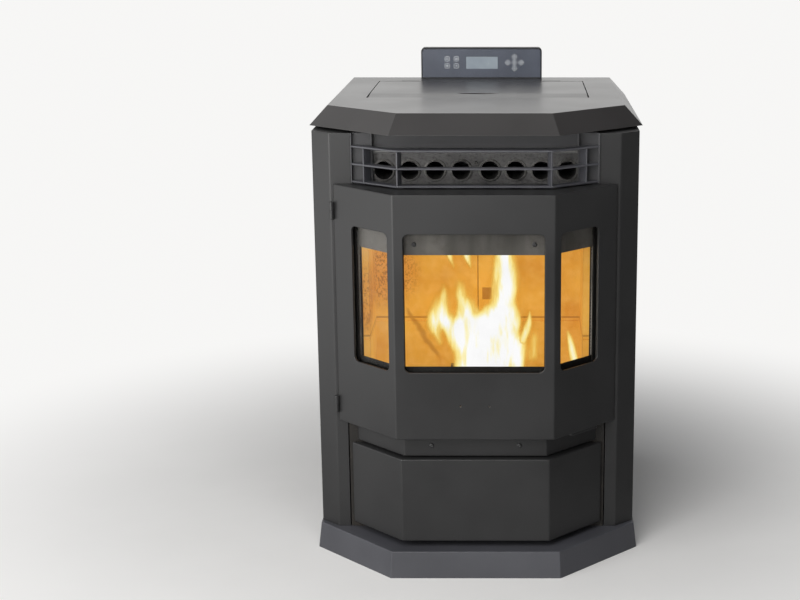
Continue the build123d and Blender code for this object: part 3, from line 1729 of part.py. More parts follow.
def sheet_ring(low_passage, low_z, high_passage, high_z, thickness):
    """Four welded sheets round a passage (half width, front y, back y) that may taper."""
    low_sheets = ring_corners(*low_passage, thickness)
    high_sheets = ring_corners(*high_passage, thickness)
    for low_corners, high_corners in zip(low_sheets, high_sheets):
        ends = []
        for corners, z in ((low_corners, low_z), (high_corners, high_z)):
            with BuildSketch(Plane.XY.offset(z)) as end:
                with BuildLine():
                    Polyline(*corners, close=True)
                make_face()
            ends.append(end.sketch.face())
        loft(ends, ruled=True)


throat_half = hopper_throat_half - hopper_wall
throat_passage = (throat_half, hopper_throat_y - throat_half, hopper_throat_y + throat_half)
collar_passage = (collar_half, collar_front_y, collar_back_y)
flange_inset = hopper_wall + weld_gap
flange_passage = (
    collar_half + flange_inset,
    collar_front_y - flange_inset,
    collar_back_y + flange_inset,
)
ledge_z = lid_front_top_z - cap_sheet - fit_gap
with BuildPart() as hopper:
    throat_bottom_z = hopper_throat_top_z - auger_tube_radius
    sheet_ring(
        throat_passage, throat_bottom_z, throat_passage, hopper_throat_top_z - weld_gap, hopper_wall
    )
    sheet_ring(
        throat_passage, hopper_throat_top_z, collar_passage, hopper_taper_top_z - weld_gap, hopper_wall
    )
    sheet_ring(collar_passage, hopper_taper_top_z, collar_passage, cap_under_z, hopper_wall)
    sheet_ring(
        flange_passage,
        cap_under_z - hopper_wall,
        flange_passage,
        cap_under_z,
        hopper_flange - flange_inset,
    )
    # ledge that carries the lid's front edge
    block(
        (-collar_half + weld_gap, collar_front_y + weld_gap, ledge_z - hopper_wall),
        (collar_half - weld_gap, collar_front_y + hopper_ledge, ledge_z),
    )
    rod(
        along_auger(-1),
        along_auger(auger_tube_length + 1),
        auger_tube_radius + weld_gap,
        Mode.SUBTRACT,
    )
save(hopper, "hopper")

# ---------------------------------------------------------------- warm air duct and blower

foot_low_x = duct_foot_x - duct_foot_width / 2
foot_high_x = duct_foot_x + duct_foot_width / 2
duct_back_wall_y = firebox_back_y + duct_depth
foot_back_y = duct_back_wall_y + duct_foot_length
foot_top_z = duct_bottom_z + duct_foot_height
sleeve_half = chute_half_width + chute_cut_gap
column_half = sleeve_half + duct_sheet
chute_low_z = chute_profile(chute_cut_gap)[0][1]
chute_high_z = chute_profile(chute_cut_gap)[2][1]
pipe_low_z = intake_z - intake_radius - duct_sheet
pipe_high_z = intake_z + intake_radius + duct_sheet
tray_low_z = duct_bottom_z + duct_sheet + weld_gap
tray_high_z = firebox_top_z - duct_sheet - weld_gap
tray_half = duct_half_width - duct_sheet - weld_gap


def back_sheet(low_x, high_x, low_z, high_z):
    """Part of the tray's back."""
    block(
        (low_x, duct_back_wall_y - duct_sheet, low_z),
        (high_x, duct_back_wall_y, high_z),
    )


with BuildPart() as warm_air_duct:
    # tray of welded sheets, closed by the firebox's back
    for low_z, high_z in (
        (duct_bottom_z, duct_bottom_z + duct_sheet),
        (firebox_top_z - duct_sheet, firebox_top_z),
    ):
        block(
            (-duct_half_width, firebox_back_y, low_z),
            (duct_half_width, duct_back_wall_y, high_z),
        )
    for low_x in (-duct_half_width, duct_half_width - duct_sheet):
        block(
            (low_x, firebox_back_y, tray_low_z),
            (low_x + duct_sheet, duct_back_wall_y, tray_high_z),
        )
    back_sheet(-tray_half, -column_half - weld_gap, tray_low_z, tray_high_z)
    back_sheet(column_half + weld_gap, tray_half, foot_top_z + weld_gap, tray_high_z)
    back_sheet(column_half + weld_gap, foot_low_x - weld_gap, tray_low_z, foot_top_z)
    back_sheet(foot_high_x + weld_gap, tray_half, tray_low_z, foot_top_z)
    back_sheet(-column_half, column_half, tray_low_z, pipe_low_z - weld_gap)
    back_sheet(-column_half, column_half, pipe_high_z + weld_gap, chute_low_z - weld_gap)
    back_sheet(-column_half, column_half, chute_high_z + weld_gap, tray_high_z)
    # foot towards the blower
    foot_front_y = duct_back_wall_y + weld_gap
    block(
        (foot_low_x, foot_front_y, duct_bottom_z),
        (foot_high_x, foot_back_y, duct_bottom_z + duct_sheet),
    )
    block(
        (foot_low_x, duct_back_wall_y - duct_sheet, foot_top_z - duct_sheet),
        (foot_high_x, foot_back_y, foot_top_z),
    )
    for low_x in (foot_low_x, foot_high_x - duct_sheet):
        block(
            (low_x, duct_back_wall_y - duct_sheet, tray_low_z),
            (low_x + duct_sheet, foot_back_y, foot_top_z - duct_sheet - weld_gap),
        )
    # sleeves round the air pipe and the chute, which cross the duct
    block(
        (-column_half, firebox_back_y, pipe_low_z),
        (column_half, duct_back_wall_y, pipe_high_z),
    )
    rod(
        (0, firebox_back_y - 1, intake_z),
        (0, duct_back_wall_y + 1, intake_z),
        intake_radius + weld_gap,
        Mode.SUBTRACT,
    )
    for seam_z in (intake_z - sleeve_seam_reach, intake_z + sleeve_seam_reach):
        block(
            (-column_half, firebox_back_y, seam_z),
            (column_half, duct_back_wall_y, seam_z + weld_gap),
            Mode.SUBTRACT,
        )
    block(
        (-column_half, firebox_back_y, chute_low_z),
        (column_half, duct_back_wall_y, chute_high_z),
    )
    side_prism(chute_profile(chute_cut_gap), sleeve_half, Mode.SUBTRACT)
    for seam_x in (-sleeve_half, sleeve_half - weld_gap):
        block(
            (seam_x, firebox_back_y, chute_low_z),
            (seam_x + weld_gap, duct_back_wall_y, chute_high_z),
            Mode.SUBTRACT,
        )
save(warm_air_duct, "warm_air_duct")

blower_low_x = duct_foot_x - blower_width / 2
blower_high_x = duct_foot_x + blower_width / 2
with BuildPart() as warm_blower_housing:
    rod((blower_low_x, blower_y, blower_z), (blower_high_x, blower_y, blower_z), blower_radius)
    block((blower_low_x, foot_back_y, duct_bottom_z), (blower_high_x, blower_y, foot_top_z))
    rod(
        (blower_low_x + blower_wall, blower_y, blower_z),
        (blower_high_x - blower_wall, blower_y, blower_z),
        blower_radius - blower_wall,
        Mode.SUBTRACT,
    )
    block(
        (blower_low_x + blower_wall, foot_back_y - 1, duct_bottom_z + blower_wall),
        (blower_high_x - blower_wall, blower_y, foot_top_z - blower_wall),
        Mode.SUBTRACT,
    )
    rod(
        (blower_low_x - 1, blower_y, blower_z),
        (blower_low_x + blower_wall + 1, blower_y, blower_z),
        blower_inlet_radius,
        Mode.SUBTRACT,
    )
    rod(
        (blower_high_x - blower_wall - 1, blower_y, blower_z),
        (blower_high_x + 1, blower_y, blower_z),
        shaft_radius + shaft_hole_gap,
        Mode.SUBTRACT,
    )
    # leg down to the plinth
    leg_half = blower_leg_width / 2
    block(
        (duct_foot_x - leg_half, blower_y - leg_half, plinth_height),
        (duct_foot_x + leg_half, blower_y + leg_half, blower_z - blower_radius + blower_wall),
    )
save(warm_blower_housing, "warm_blower_housing")

with BuildPart() as warm_blower_wheel:
    wheel_low_x = duct_foot_x - blower_wheel_width / 2
    wheel_high_x = duct_foot_x + blower_wheel_width / 2
    rim_middle = blower_wheel_radius - blower_blade_chord / 2
    with BuildSketch(Plane.YZ.offset(wheel_low_x)):
        with Locations((blower_y, blower_z)):
            with PolarLocations(rim_middle, blower_blades):
                Rectangle(blower_blade_chord, blower_blade_thickness, rotation=blower_blade_turn)
    extrude(amount=blower_wheel_width)
    rod(
        (wheel_high_x - blower_disc_thickness, blower_y, blower_z),
        (wheel_high_x, blower_y, blower_z),
        blower_wheel_radius,
    )
    with BuildSketch(Plane.YZ.offset(wheel_low_x)):
        with Locations((blower_y, blower_z)):
            Circle(blower_wheel_radius)
            Circle(blower_wheel_radius - blower_blade_chord, mode=Mode.SUBTRACT)
    extrude(amount=blower_disc_thickness)
    rod(
        (wheel_high_x - blower_disc_thickness, blower_y, blower_z),
        (blower_high_x + shaft_reach, blower_y, blower_z),
        shaft_radius,
    )
save(warm_blower_wheel, "warm_blower_wheel")


# ---------------------------------------------------------------- exhaust blower, flue collar

exhaust_low_x = -firebox_half_width + fit_gap
exhaust_high_x = exhaust_low_x + exhaust_width
flue_box_half = flue_radius + flue_box_margin
flue_start_y = exhaust_y + exhaust_radius + flue_box_margin
with BuildPart() as exhaust_blower_housing:
    rod((exhaust_low_x, exhaust_y, exhaust_z), (exhaust_high_x, exhaust_y, exhaust_z), exhaust_radius)
    block(
        (exhaust_low_x, exhaust_y, flue_z - flue_box_half),
        (exhaust_high_x, flue_start_y, flue_z + flue_box_half),
    )
    rod(
        (exhaust_low_x + exhaust_wall, exhaust_y, exhaust_z),
        (exhaust_high_x - exhaust_wall, exhaust_y, exhaust_z),
        exhaust_radius - exhaust_wall,
        Mode.SUBTRACT,
    )
    block(
        (exhaust_low_x + exhaust_wall, exhaust_y, flue_z - flue_box_half + exhaust_wall),
        (
            exhaust_high_x - exhaust_wall,
            flue_start_y - exhaust_wall,
            flue_z + flue_box_half - exhaust_wall,
        ),
        Mode.SUBTRACT,
    )
    rod(
        (exhaust_low_x - 1, exhaust_y, exhaust_z),
        (exhaust_low_x + exhaust_wall + 1, exhaust_y, exhaust_z),
        exhaust_inlet_radius,
        Mode.SUBTRACT,
    )
    rod(
        (exhaust_high_x - exhaust_wall - 1, exhaust_y, exhaust_z),
        (exhaust_high_x + 1, exhaust_y, exhaust_z),
        shaft_radius + shaft_hole_gap,
        Mode.SUBTRACT,
    )
    rod(
        (flue_x, flue_start_y - exhaust_wall - 1, flue_z),
        (flue_x, flue_start_y + 1, flue_z),
        flue_radius - exhaust_wall,
        Mode.SUBTRACT,
    )
save(exhaust_blower_housing, "exhaust_blower_housing")

with BuildPart() as exhaust_blower_wheel:
    disc_x = exhaust_low_x + exhaust_wall + exhaust_blade_depth + exhaust_blade_setback
    blade_length = exhaust_wheel_radius - exhaust_hub_radius + 1
    with BuildSketch(Plane.YZ.offset(disc_x - exhaust_blade_depth)):
        with Locations((exhaust_y, exhaust_z)):
            with PolarLocations(exhaust_wheel_radius - blade_length / 2, exhaust_blades):
                Rectangle(blade_length, exhaust_blade_thickness)
            Circle(exhaust_hub_radius)
    extrude(amount=exhaust_blade_depth)
    rod(
        (disc_x, exhaust_y, exhaust_z),
        (disc_x + exhaust_disc_thickness, exhaust_y, exhaust_z),
        exhaust_wheel_radius,
    )
    rod(
        (disc_x, exhaust_y, exhaust_z),
        (exhaust_high_x + shaft_reach, exhaust_y, exhaust_z),
        shaft_radius,
    )
save(exhaust_blower_wheel, "exhaust_blower_wheel")

# round motors along +X, each with a blind bore for its wheel's shaft
warm_motor = (blower_high_x, blower_y, blower_z)
exhaust_motor = (exhaust_high_x, exhaust_y, exhaust_z)
for name, (low_x, y, z), length, radius in (
    ("warm_blower_motor", warm_motor, blower_motor_length, blower_motor_radius),
    ("exhaust_blower_motor", exhaust_motor, exhaust_motor_length, exhaust_motor_radius),
):
    with BuildPart() as blower_motor:
        rod((low_x, y, z), (low_x + length, y, z), radius)
        fillet(blower_motor.faces().sort_by(Axis.X)[-1].edges(), motor_edge_radius)
        rod((low_x - 1, y, z), (low_x + shaft_reach + 2, y, z), shaft_radius + running_gap, Mode.SUBTRACT)
    save(blower_motor, name)

flue_end_y = body_back_y + flue_length
with BuildPart() as flue_collar:
    rod((flue_x, flue_start_y, flue_z), (flue_x, flue_end_y, flue_z), flue_radius)
    rod(
        (flue_x, flue_start_y - 1, flue_z),
        (flue_x, flue_end_y + 1, flue_z),
        flue_radius - flue_wall,
        Mode.SUBTRACT,
    )
    back_ring(flue_x, flue_z, flue_radius)
save(flue_collar, "flue_collar")

# ---------------------------------------------------------------- power inlet

inlet_floor_y = body_back_y - inlet_depth + inlet_floor
inlet_mouth_y = body_back_y + inlet_flange_thickness
with BuildPart() as power_inlet:
    block(
        (inlet_low[0], body_back_y - inlet_depth, inlet_low[1]),
        (inlet_high[0], body_back_y, inlet_high[1]),
    )
    block(
        (inlet_low[0] - inlet_flange, body_back_y, inlet_low[1] - inlet_flange),
        (inlet_high[0] + inlet_flange, inlet_mouth_y, inlet_high[1] + inlet_flange),
    )
    with BuildSketch(Plane.XZ.offset(-inlet_mouth_y)):
        with Locations((inlet_x, inlet_z)):
            RectangleRounded(inlet_well_width, inlet_well_height, inlet_blade_width)
    extrude(amount=inlet_mouth_y - inlet_floor_y, mode=Mode.SUBTRACT)
    # three contact blades on the well's floor
    blade_row_z = inlet_z - inlet_blade_height / 2
    for blade_x, blade_z in (
        (inlet_x, inlet_z + inlet_blade_height / 2),
        (inlet_x - inlet_blade_pitch, blade_row_z),
        (inlet_x + inlet_blade_pitch, blade_row_z),
    ):
        block(
            (blade_x - inlet_blade_width / 2, inlet_floor_y - 1, blade_z - inlet_blade_height / 2),
            (
                blade_x + inlet_blade_width / 2,
                inlet_floor_y + inlet_blade_length,
                blade_z + inlet_blade_height / 2,
            ),
        )
save(power_inlet, "power_inlet")
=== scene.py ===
import json
import math
import random

import bmesh
import bpy
from mathutils import Matrix, Vector, noise


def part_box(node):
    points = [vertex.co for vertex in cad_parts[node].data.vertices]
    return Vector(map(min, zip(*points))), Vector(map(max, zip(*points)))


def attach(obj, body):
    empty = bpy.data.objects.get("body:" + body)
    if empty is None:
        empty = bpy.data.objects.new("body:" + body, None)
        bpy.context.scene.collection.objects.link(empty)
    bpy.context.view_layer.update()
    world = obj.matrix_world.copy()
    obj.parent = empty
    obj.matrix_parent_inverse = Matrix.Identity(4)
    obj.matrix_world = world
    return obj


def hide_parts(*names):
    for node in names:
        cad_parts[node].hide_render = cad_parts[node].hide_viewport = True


# Pellet stove: finishes for the solids, and the pieces that only Blender makes
# (woven ropes, screw heads, weld rings, key marks, pellets and embers, the fire).
# Metres. +X to the right seen from the front, +Y to the back, +Z up.

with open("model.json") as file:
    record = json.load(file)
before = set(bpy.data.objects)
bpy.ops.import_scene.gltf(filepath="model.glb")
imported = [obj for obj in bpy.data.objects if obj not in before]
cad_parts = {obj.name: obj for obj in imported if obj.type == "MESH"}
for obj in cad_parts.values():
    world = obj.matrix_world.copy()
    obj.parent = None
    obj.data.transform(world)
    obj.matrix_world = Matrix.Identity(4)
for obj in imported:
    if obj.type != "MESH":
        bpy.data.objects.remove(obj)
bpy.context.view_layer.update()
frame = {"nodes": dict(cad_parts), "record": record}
stove_nodes = frame["nodes"]
node_slot = {part["node"]: part["material_slot"] for part in frame["record"]["subparts"]}

# ---- camera and studio

CAMERA_PLACE = (0.0748, -3.1083, 1.2076)
CAMERA_TILT = 0.243              # down, in radians
CAMERA_PAN = 0.002
CAMERA_LENS = 70.70
CAMERA_SHIFT_X = -0.14125

FLOOR_COLOUR = (0.95, 0.94, 0.925)
FLOOR_HALF = 30.0
HAZE_START = 0.38                # radius where the floor starts to fade into the background
HAZE_END = 1.5
BACKGROUND = (0.93, 0.925, 0.915)


def add_object(name, data):
    thing = bpy.data.objects.new(name, data)
    bpy.context.collection.objects.link(thing)
    return thing


def set_camera():
    data = bpy.data.cameras.new("camera")
    data.sensor_width = 36.0
    data.lens = CAMERA_LENS
    data.shift_x = CAMERA_SHIFT_X
    data.clip_end = 100.0
    camera = add_object("camera", data)
    camera.location = CAMERA_PLACE
    camera.rotation_euler = (math.pi / 2 - CAMERA_TILT, 0, CAMERA_PAN)
    bpy.context.scene.camera = camera


def area_lamp(name, place, target, size, radiance, colour):
    """Soft panel that looks as bright as radiance, whatever its size."""
    data = bpy.data.lights.new(name, "AREA")
    data.shape = "RECTANGLE"
    data.size, data.size_y = size
    data.energy = math.pi * radiance * size[0] * size[1]
    data.color = colour
    lamp = add_object(name, data)
    lamp.location = place
    aim = Vector(target) - Vector(place)
    lamp.rotation_euler = aim.to_track_quat("-Z", "Y").to_euler()
    lamp.visible_camera = False
    return lamp


def ground_mesh():
    mesh = bpy.data.meshes.new("studio_floor")
    corners = [(-1, -1), (1, -1), (1, 1), (-1, 1)]
    mesh.from_pydata([(x * FLOOR_HALF, y * FLOOR_HALF, 0) for x, y in corners], [], [(0, 1, 2, 3)])
    return mesh


# ---- node helpers


class Nodes:
    """A node tree of any kind, with the sums that all kinds share."""

    def __init__(self, tree):
        self.tree = tree

    def link(self, source, target):
        self.tree.links.new(source, target)

    def add(self, kind, inputs=None, **settings):
        """A new node, its inputs linked to sockets or set to constants."""
        node = self.tree.nodes.new(kind)
        for key, value in settings.items():
            setattr(node, key, value)
        for key, value in (inputs or {}).items():
            if isinstance(value, bpy.types.NodeSocket):
                self.link(value, node.inputs[key])
            else:
                node.inputs[key].default_value = value
        return node

    def first(self, kind, inputs=None, **settings):
        """The first output of a new node."""
        return self.add(kind, inputs, **settings).outputs[0]

    def maths(self, operation, first, second=0.0, clamp=False):
        return self.first("ShaderNodeMath", {0: first, 1: second}, operation=operation, use_clamp=clamp)

    def product(self, first, *rest):
        for factor in rest:
            first = self.maths("MULTIPLY", first, factor)
        return first

    def gap(self, first, second):
        """How far two numbers lie apart."""
        return self.maths("ABSOLUTE", self.maths("SUBTRACT", first, second))

    def vector(self, operation, first, second):
        return self.first("ShaderNodeVectorMath", {0: first, 1: second}, operation=operation)

    def measure(self, operation, first, second):
        """A number from two vectors, such as their distance."""
        node = self.add("ShaderNodeVectorMath", {0: first, 1: second}, operation=operation)
        return node.outputs["Value"]

    def band(self, value, low, high, out_low=0.0, out_high=1.0, ease="SMOOTHSTEP"):
        """value mapped from low..high to out_low..out_high, clamped."""
        inputs = {"Value": value, "From Min": low, "From Max": high, "To Min": out_low, "To Max": out_high}
        return self.first("ShaderNodeMapRange", inputs, interpolation_type=ease)

    def axis(self, name, place):
        return self.add("ShaderNodeSeparateXYZ", {0: place}).outputs[name]


finishes = {}


class Finish(Nodes):
    """A material's node tree, built from its principled shader outwards, kept in finishes."""

    def __init__(self, name, **constants):
        material = bpy.data.materials.new(name)
        material.use_nodes = True
        finishes[name] = material
        super().__init__(material.node_tree)
        self.tree.nodes.clear()
        self.output = self.add("ShaderNodeOutputMaterial")
        self.shader = self.add("ShaderNodeBsdfPrincipled")
        self.link(self.shader.outputs["BSDF"], self.output.inputs["Surface"])
        for socket, value in constants.items():
            self.shader.inputs[socket.replace("_", " ")].default_value = value
        self.place = self.add("ShaderNodeTexCoord").outputs["Object"]
        self.height = None

    def stretched(self, scale):
        """Object coordinates, scaled."""
        return self.first("ShaderNodeMapping", {"Vector": self.place, "Scale": scale})

    def noise(self, scale, detail=3.0, rough=0.55, place=None, distortion=0.0):
        """Noise, its scale in waves per metre."""
        inputs = {"Vector": place or self.place, "Scale": scale, "Detail": detail}
        inputs.update({"Roughness": rough, "Distortion": distortion})
        return self.add("ShaderNodeTexNoise", inputs).outputs["Fac"]

    def cells(self, scale, output, feature="F1"):
        node = self.add("ShaderNodeTexVoronoi", {"Vector": self.place, "Scale": scale}, feature=feature)
        return node.outputs[output]

    def grid(self, first, second, line, scale, gap, **settings):
        """A flat grid of cells in two tones, with lines between them."""
        inputs = {"Vector": self.stretched((1, 0, 1)), "Scale": scale, "Mortar Size": gap}
        inputs.update({"Color1": (*first, 1), "Color2": (*second, 1), "Mortar": (*line, 1)})
        return self.add("ShaderNodeTexBrick", inputs, **settings)

    def distance(self, place):
        """Distance from a fixed place."""
        return self.measure("DISTANCE", self.place, place)

    def blend(self, share, first, second):
        """Two colours mixed by share."""
        inputs = {0: share}
        for index, tone in ((6, first), (7, second)):
            inputs[index] = tone if isinstance(tone, bpy.types.NodeSocket) else (*tone, 1)
        return self.add("ShaderNodeMix", inputs, data_type="RGBA").outputs[2]

    def mottle(self, value, low, high, first, second, share=1.0):
        """first, turning by share into second where value rises from low to high."""
        return self.blend(self.band(value, low, high, 0.0, share), first, second)

    def ramp(self, value, *stops):
        node = self.add("ShaderNodeValToRGB", {"Fac": value})
        line = node.color_ramp
        for element, (position, colour) in zip(line.elements, (stops[0], stops[-1])):
            element.position, element.color = position, (*colour, 1)
        for position, colour in stops[1:-1]:
            line.elements.new(position).color = (*colour, 1)
        return node.outputs["Color"]

    def edges(self, radius):
        """1 on sharp edges, 0 on open faces."""
        bevel = self.first("ShaderNodeBevel", {"Radius": radius}, samples=6)
        face = self.add("ShaderNodeNewGeometry").outputs["Normal"]
        cosine = self.measure("DOT_PRODUCT", bevel, face)
        return self.band(self.maths("SUBTRACT", 1.0, cosine), 0.02, 0.35)

    def soften(self, radius):
        """Rounds the bends and sheared edges of sheet metal."""
        self.height = self.first("ShaderNodeBevel", {"Radius": radius}, samples=8)

    def colour(self, value):
        self.link(value, self.shader.inputs["Base Color"])

    def roughness(self, value):
        self.link(value, self.shader.inputs["Roughness"])

    def glow(self, colour, strength=None):
        self.link(colour, self.shader.inputs["Emission Color"])
        if strength is not None:
            self.link(strength, self.shader.inputs["Emission Strength"])

    def bump(self, value, depth, strength=1.0):
        """Adds a height field, depth in metres, on top of those already there."""
        inputs = {"Height": value, "Distance": depth, "Strength": strength}
        if self.height is not None:
            inputs["Normal"] = self.height
        self.height = self.first("ShaderNodeBump", inputs)
        self.link(self.height, self.shader.inputs["Normal"])


# ---- finishes


def lighter(colour, share):
    return [part * share for part in colour]


def stove_paint(name, base, worn, rough, gloss=0.5, bend=0.0018, satin=0.0):
    """High temperature stove paint: fine powdery grain, faint clouds, and bends that are rounded and lighter,
    partly worn and partly a painted highlight.
    """
    paint = Finish(name, Specular_IOR_Level=gloss, Coat_Weight=satin, Coat_Roughness=0.3)
    clouds = paint.noise(6.0, 4.0)
    speck = paint.noise(700.0, 2.0)
    tone = paint.mottle(clouds, 0.3, 0.7, base, lighter(base, 1.22))
    tone = paint.mottle(speck, 0.60, 0.78, tone, lighter(base, 1.8), 0.35)
    # lighter edges, in patches: partly wear, partly a painted highlight along the bends
    handled = paint.band(paint.noise(40.0, 3.0), 0.35, 0.65, 0.15, 0.7)
    edge_tone = paint.product(paint.edges(0.0016), handled)
    paint.colour(paint.blend(edge_tone, tone, worn))
    spread = paint.band(clouds, 0.3, 0.7, rough - 0.03, rough + 0.04)
    paint.roughness(paint.maths("SUBTRACT", spread, paint.product(edge_tone, 0.1)))
    paint.soften(bend)
    paint.bump(paint.noise(1400.0, 2.0), 0.00005, 0.5)
    paint.bump(paint.noise(8.0, 2.0), 0.0006, 0.3)


def burnt_paint():
    """Stove paint near the fire: matte, browned and dusted with ash."""
    paint = Finish("fire_paint", Specular_IOR_Level=0.35)
    clouds = paint.noise(22.0, 5.0)
    dust = paint.noise(160.0, 4.0)
    tone = paint.ramp(
        clouds,
        (0.30, (0.016, 0.015, 0.014)),
        (0.55, (0.026, 0.023, 0.020)),
        (0.75, (0.042, 0.035, 0.028)),
    )
    paint.colour(paint.mottle(dust, 0.6, 0.8, tone, (0.10, 0.092, 0.08), 0.3))
    paint.roughness(paint.band(dust, 0.3, 0.7, 0.5, 0.75))
    paint.soften(0.001)
    paint.bump(dust, 0.0002, 0.4)


def smoked_plate():
    """The plate above the panes: bare sheet, browned by smoke, with upright streaks of lighter tone that are
    painted reflections.
    """
    plate = Finish("smoked_plate", Metallic=0.25, Specular_IOR_Level=0.5)
    # upright streaks, lighter in tone: painted reflections
    streak = plate.noise(28.0, 3.0, place=plate.stretched((1, 1, 0.15)))
    smoke = plate.noise(70.0, 4.0)
    tone = plate.ramp(
        streak,
        (0.3, (0.058, 0.054, 0.047)),
        (0.5, (0.088, 0.083, 0.074)),
        (0.7, (0.125, 0.117, 0.104)),
    )
    plate.colour(plate.mottle(smoke, 0.45, 0.75, tone, (0.06, 0.052, 0.042), 0.4))
    plate.roughness(plate.band(smoke, 0.3, 0.7, 0.38, 0.55))
    plate.bump(smoke, 0.0001, 0.4)


def soot(name, base):
    """Sheet behind the panes, matte with soot."""
    coat = Finish(name, Specular_IOR_Level=0.25)
    dust = coat.noise(140.0, 4.0)
    coat.colour(coat.mottle(dust, 0.4, 0.75, base, lighter(base, 2.0)))
    coat.roughness(coat.band(dust, 0.3, 0.7, 0.6, 0.85))
    coat.bump(dust, 0.0002, 0.4)


def zinc_sheet():
    """Zinc-coated sheet: spangle in facets, dull, with faint runs."""
    zinc = Finish("inner_steel", Metallic=0.85)
    spangle = zinc.cells(95.0, "Color")
    grey = zinc.axis("X", spangle)
    streak = zinc.noise(14.0, 4.0, place=zinc.stretched((1, 1, 0.25)))
    tone = zinc.ramp(
        grey, (0.0, (0.30, 0.305, 0.31)), (0.5, (0.36, 0.365, 0.37)), (1.0, (0.45, 0.455, 0.46))
    )
    tone = zinc.mottle(streak, 0.45, 0.75, tone, (0.24, 0.235, 0.225), 0.5)
    zinc.colour(tone)
    zinc.roughness(zinc.band(grey, 0, 1, 0.36, 0.52))
    zinc.soften(0.001)
    zinc.bump(zinc.noise(600.0, 2.0), 0.00004, 0.4)


def turned_steel(name, light, dark, rough):
    """Bare steel with fine scratches and a dull film."""
    steel = Finish(name, Metallic=1.0)
    scratch = steel.noise(260.0, 3.0, place=steel.stretched((1, 1, 7)))
    film = steel.noise(40.0, 4.0)
    tone = steel.mottle(scratch, 0.35, 0.65, dark, light)
    tone = steel.mottle(film, 0.5, 0.8, tone, lighter(dark, 0.55), 0.5)
    steel.colour(tone)
    steel.roughness(steel.band(film, 0.3, 0.75, rough - 0.06, rough + 0.16))
    steel.bump(scratch, 0.00003, 0.5)


def scaled_steel(name, pale, dark, highlight_tone, lip=None):
    """Steel that has been hot: grey mill scale, soot, and a painted highlight on its edges and on everything
    above lip.
    """
    steel = Finish(name, Metallic=0.45)
    heat = steel.noise(17.0, 4.0)
    scale = steel.noise(190.0, 5.0)
    tone = steel.ramp(heat, (0.32, dark), (0.52, pale), (0.72, lighter(pale, 0.72)))
    tone = steel.mottle(scale, 0.48, 0.7, tone, lighter(dark, 0.6), 0.6)
    # painted highlight: the edges, and everything above lip, turn bright
    bright = steel.edges(0.0014)
    if lip:
        above = steel.band(steel.axis("Z", steel.place), lip, lip + 0.003)
        bright = steel.maths("MAXIMUM", bright, above)
    steel.colour(steel.blend(bright, tone, highlight_tone))
    steel.roughness(steel.band(scale, 0.35, 0.7, 0.45, 0.75))
    steel.bump(scale, 0.00035, 0.6)


def ashy_iron():
    """Cast iron with a sand texture and pale ash in its hollows."""
    iron = Finish("iron", Metallic=0.2)
    sand = iron.noise(420.0, 4.0)
    ash = iron.noise(60.0, 5.0)
    tone = iron.mottle(ash, 0.45, 0.7, (0.06, 0.055, 0.05), (0.26, 0.235, 0.21))
    iron.colour(iron.mottle(sand, 0.6, 0.8, tone, (0.32, 0.29, 0.26), 0.5))
    iron.roughness(iron.band(ash, 0.4, 0.7, 0.6, 0.9))
    iron.bump(sand, 0.0004, 0.7)


# the fire's middle, round which the bricks' painted firelight is brightest
FIRE_CENTRE = (-0.02, -0.15, 0.44)
ROUGH_SIDES = ((-0.185, -0.111, 0.52), (-0.200, -0.235, 0.50))
BRICK_JOINT_Z = 0.430
SCRATCH_NORMAL = (0.811, 0.585)          # a slanting scratch: its line's normal in x and z,
SCRATCH_REACH = 0.153                    # how far the line lies from the origin,
SCRATCH_LEFT = (-0.145, -0.135)          # and where it fades in and out
SCRATCH_RIGHT = (-0.085, -0.07)
NOTCH = (0.018, 0.478)                   # recess beside the back joint, painted as a dark patch of shade, x and z
NOTCH_HALF = (0.0095, 0.012)


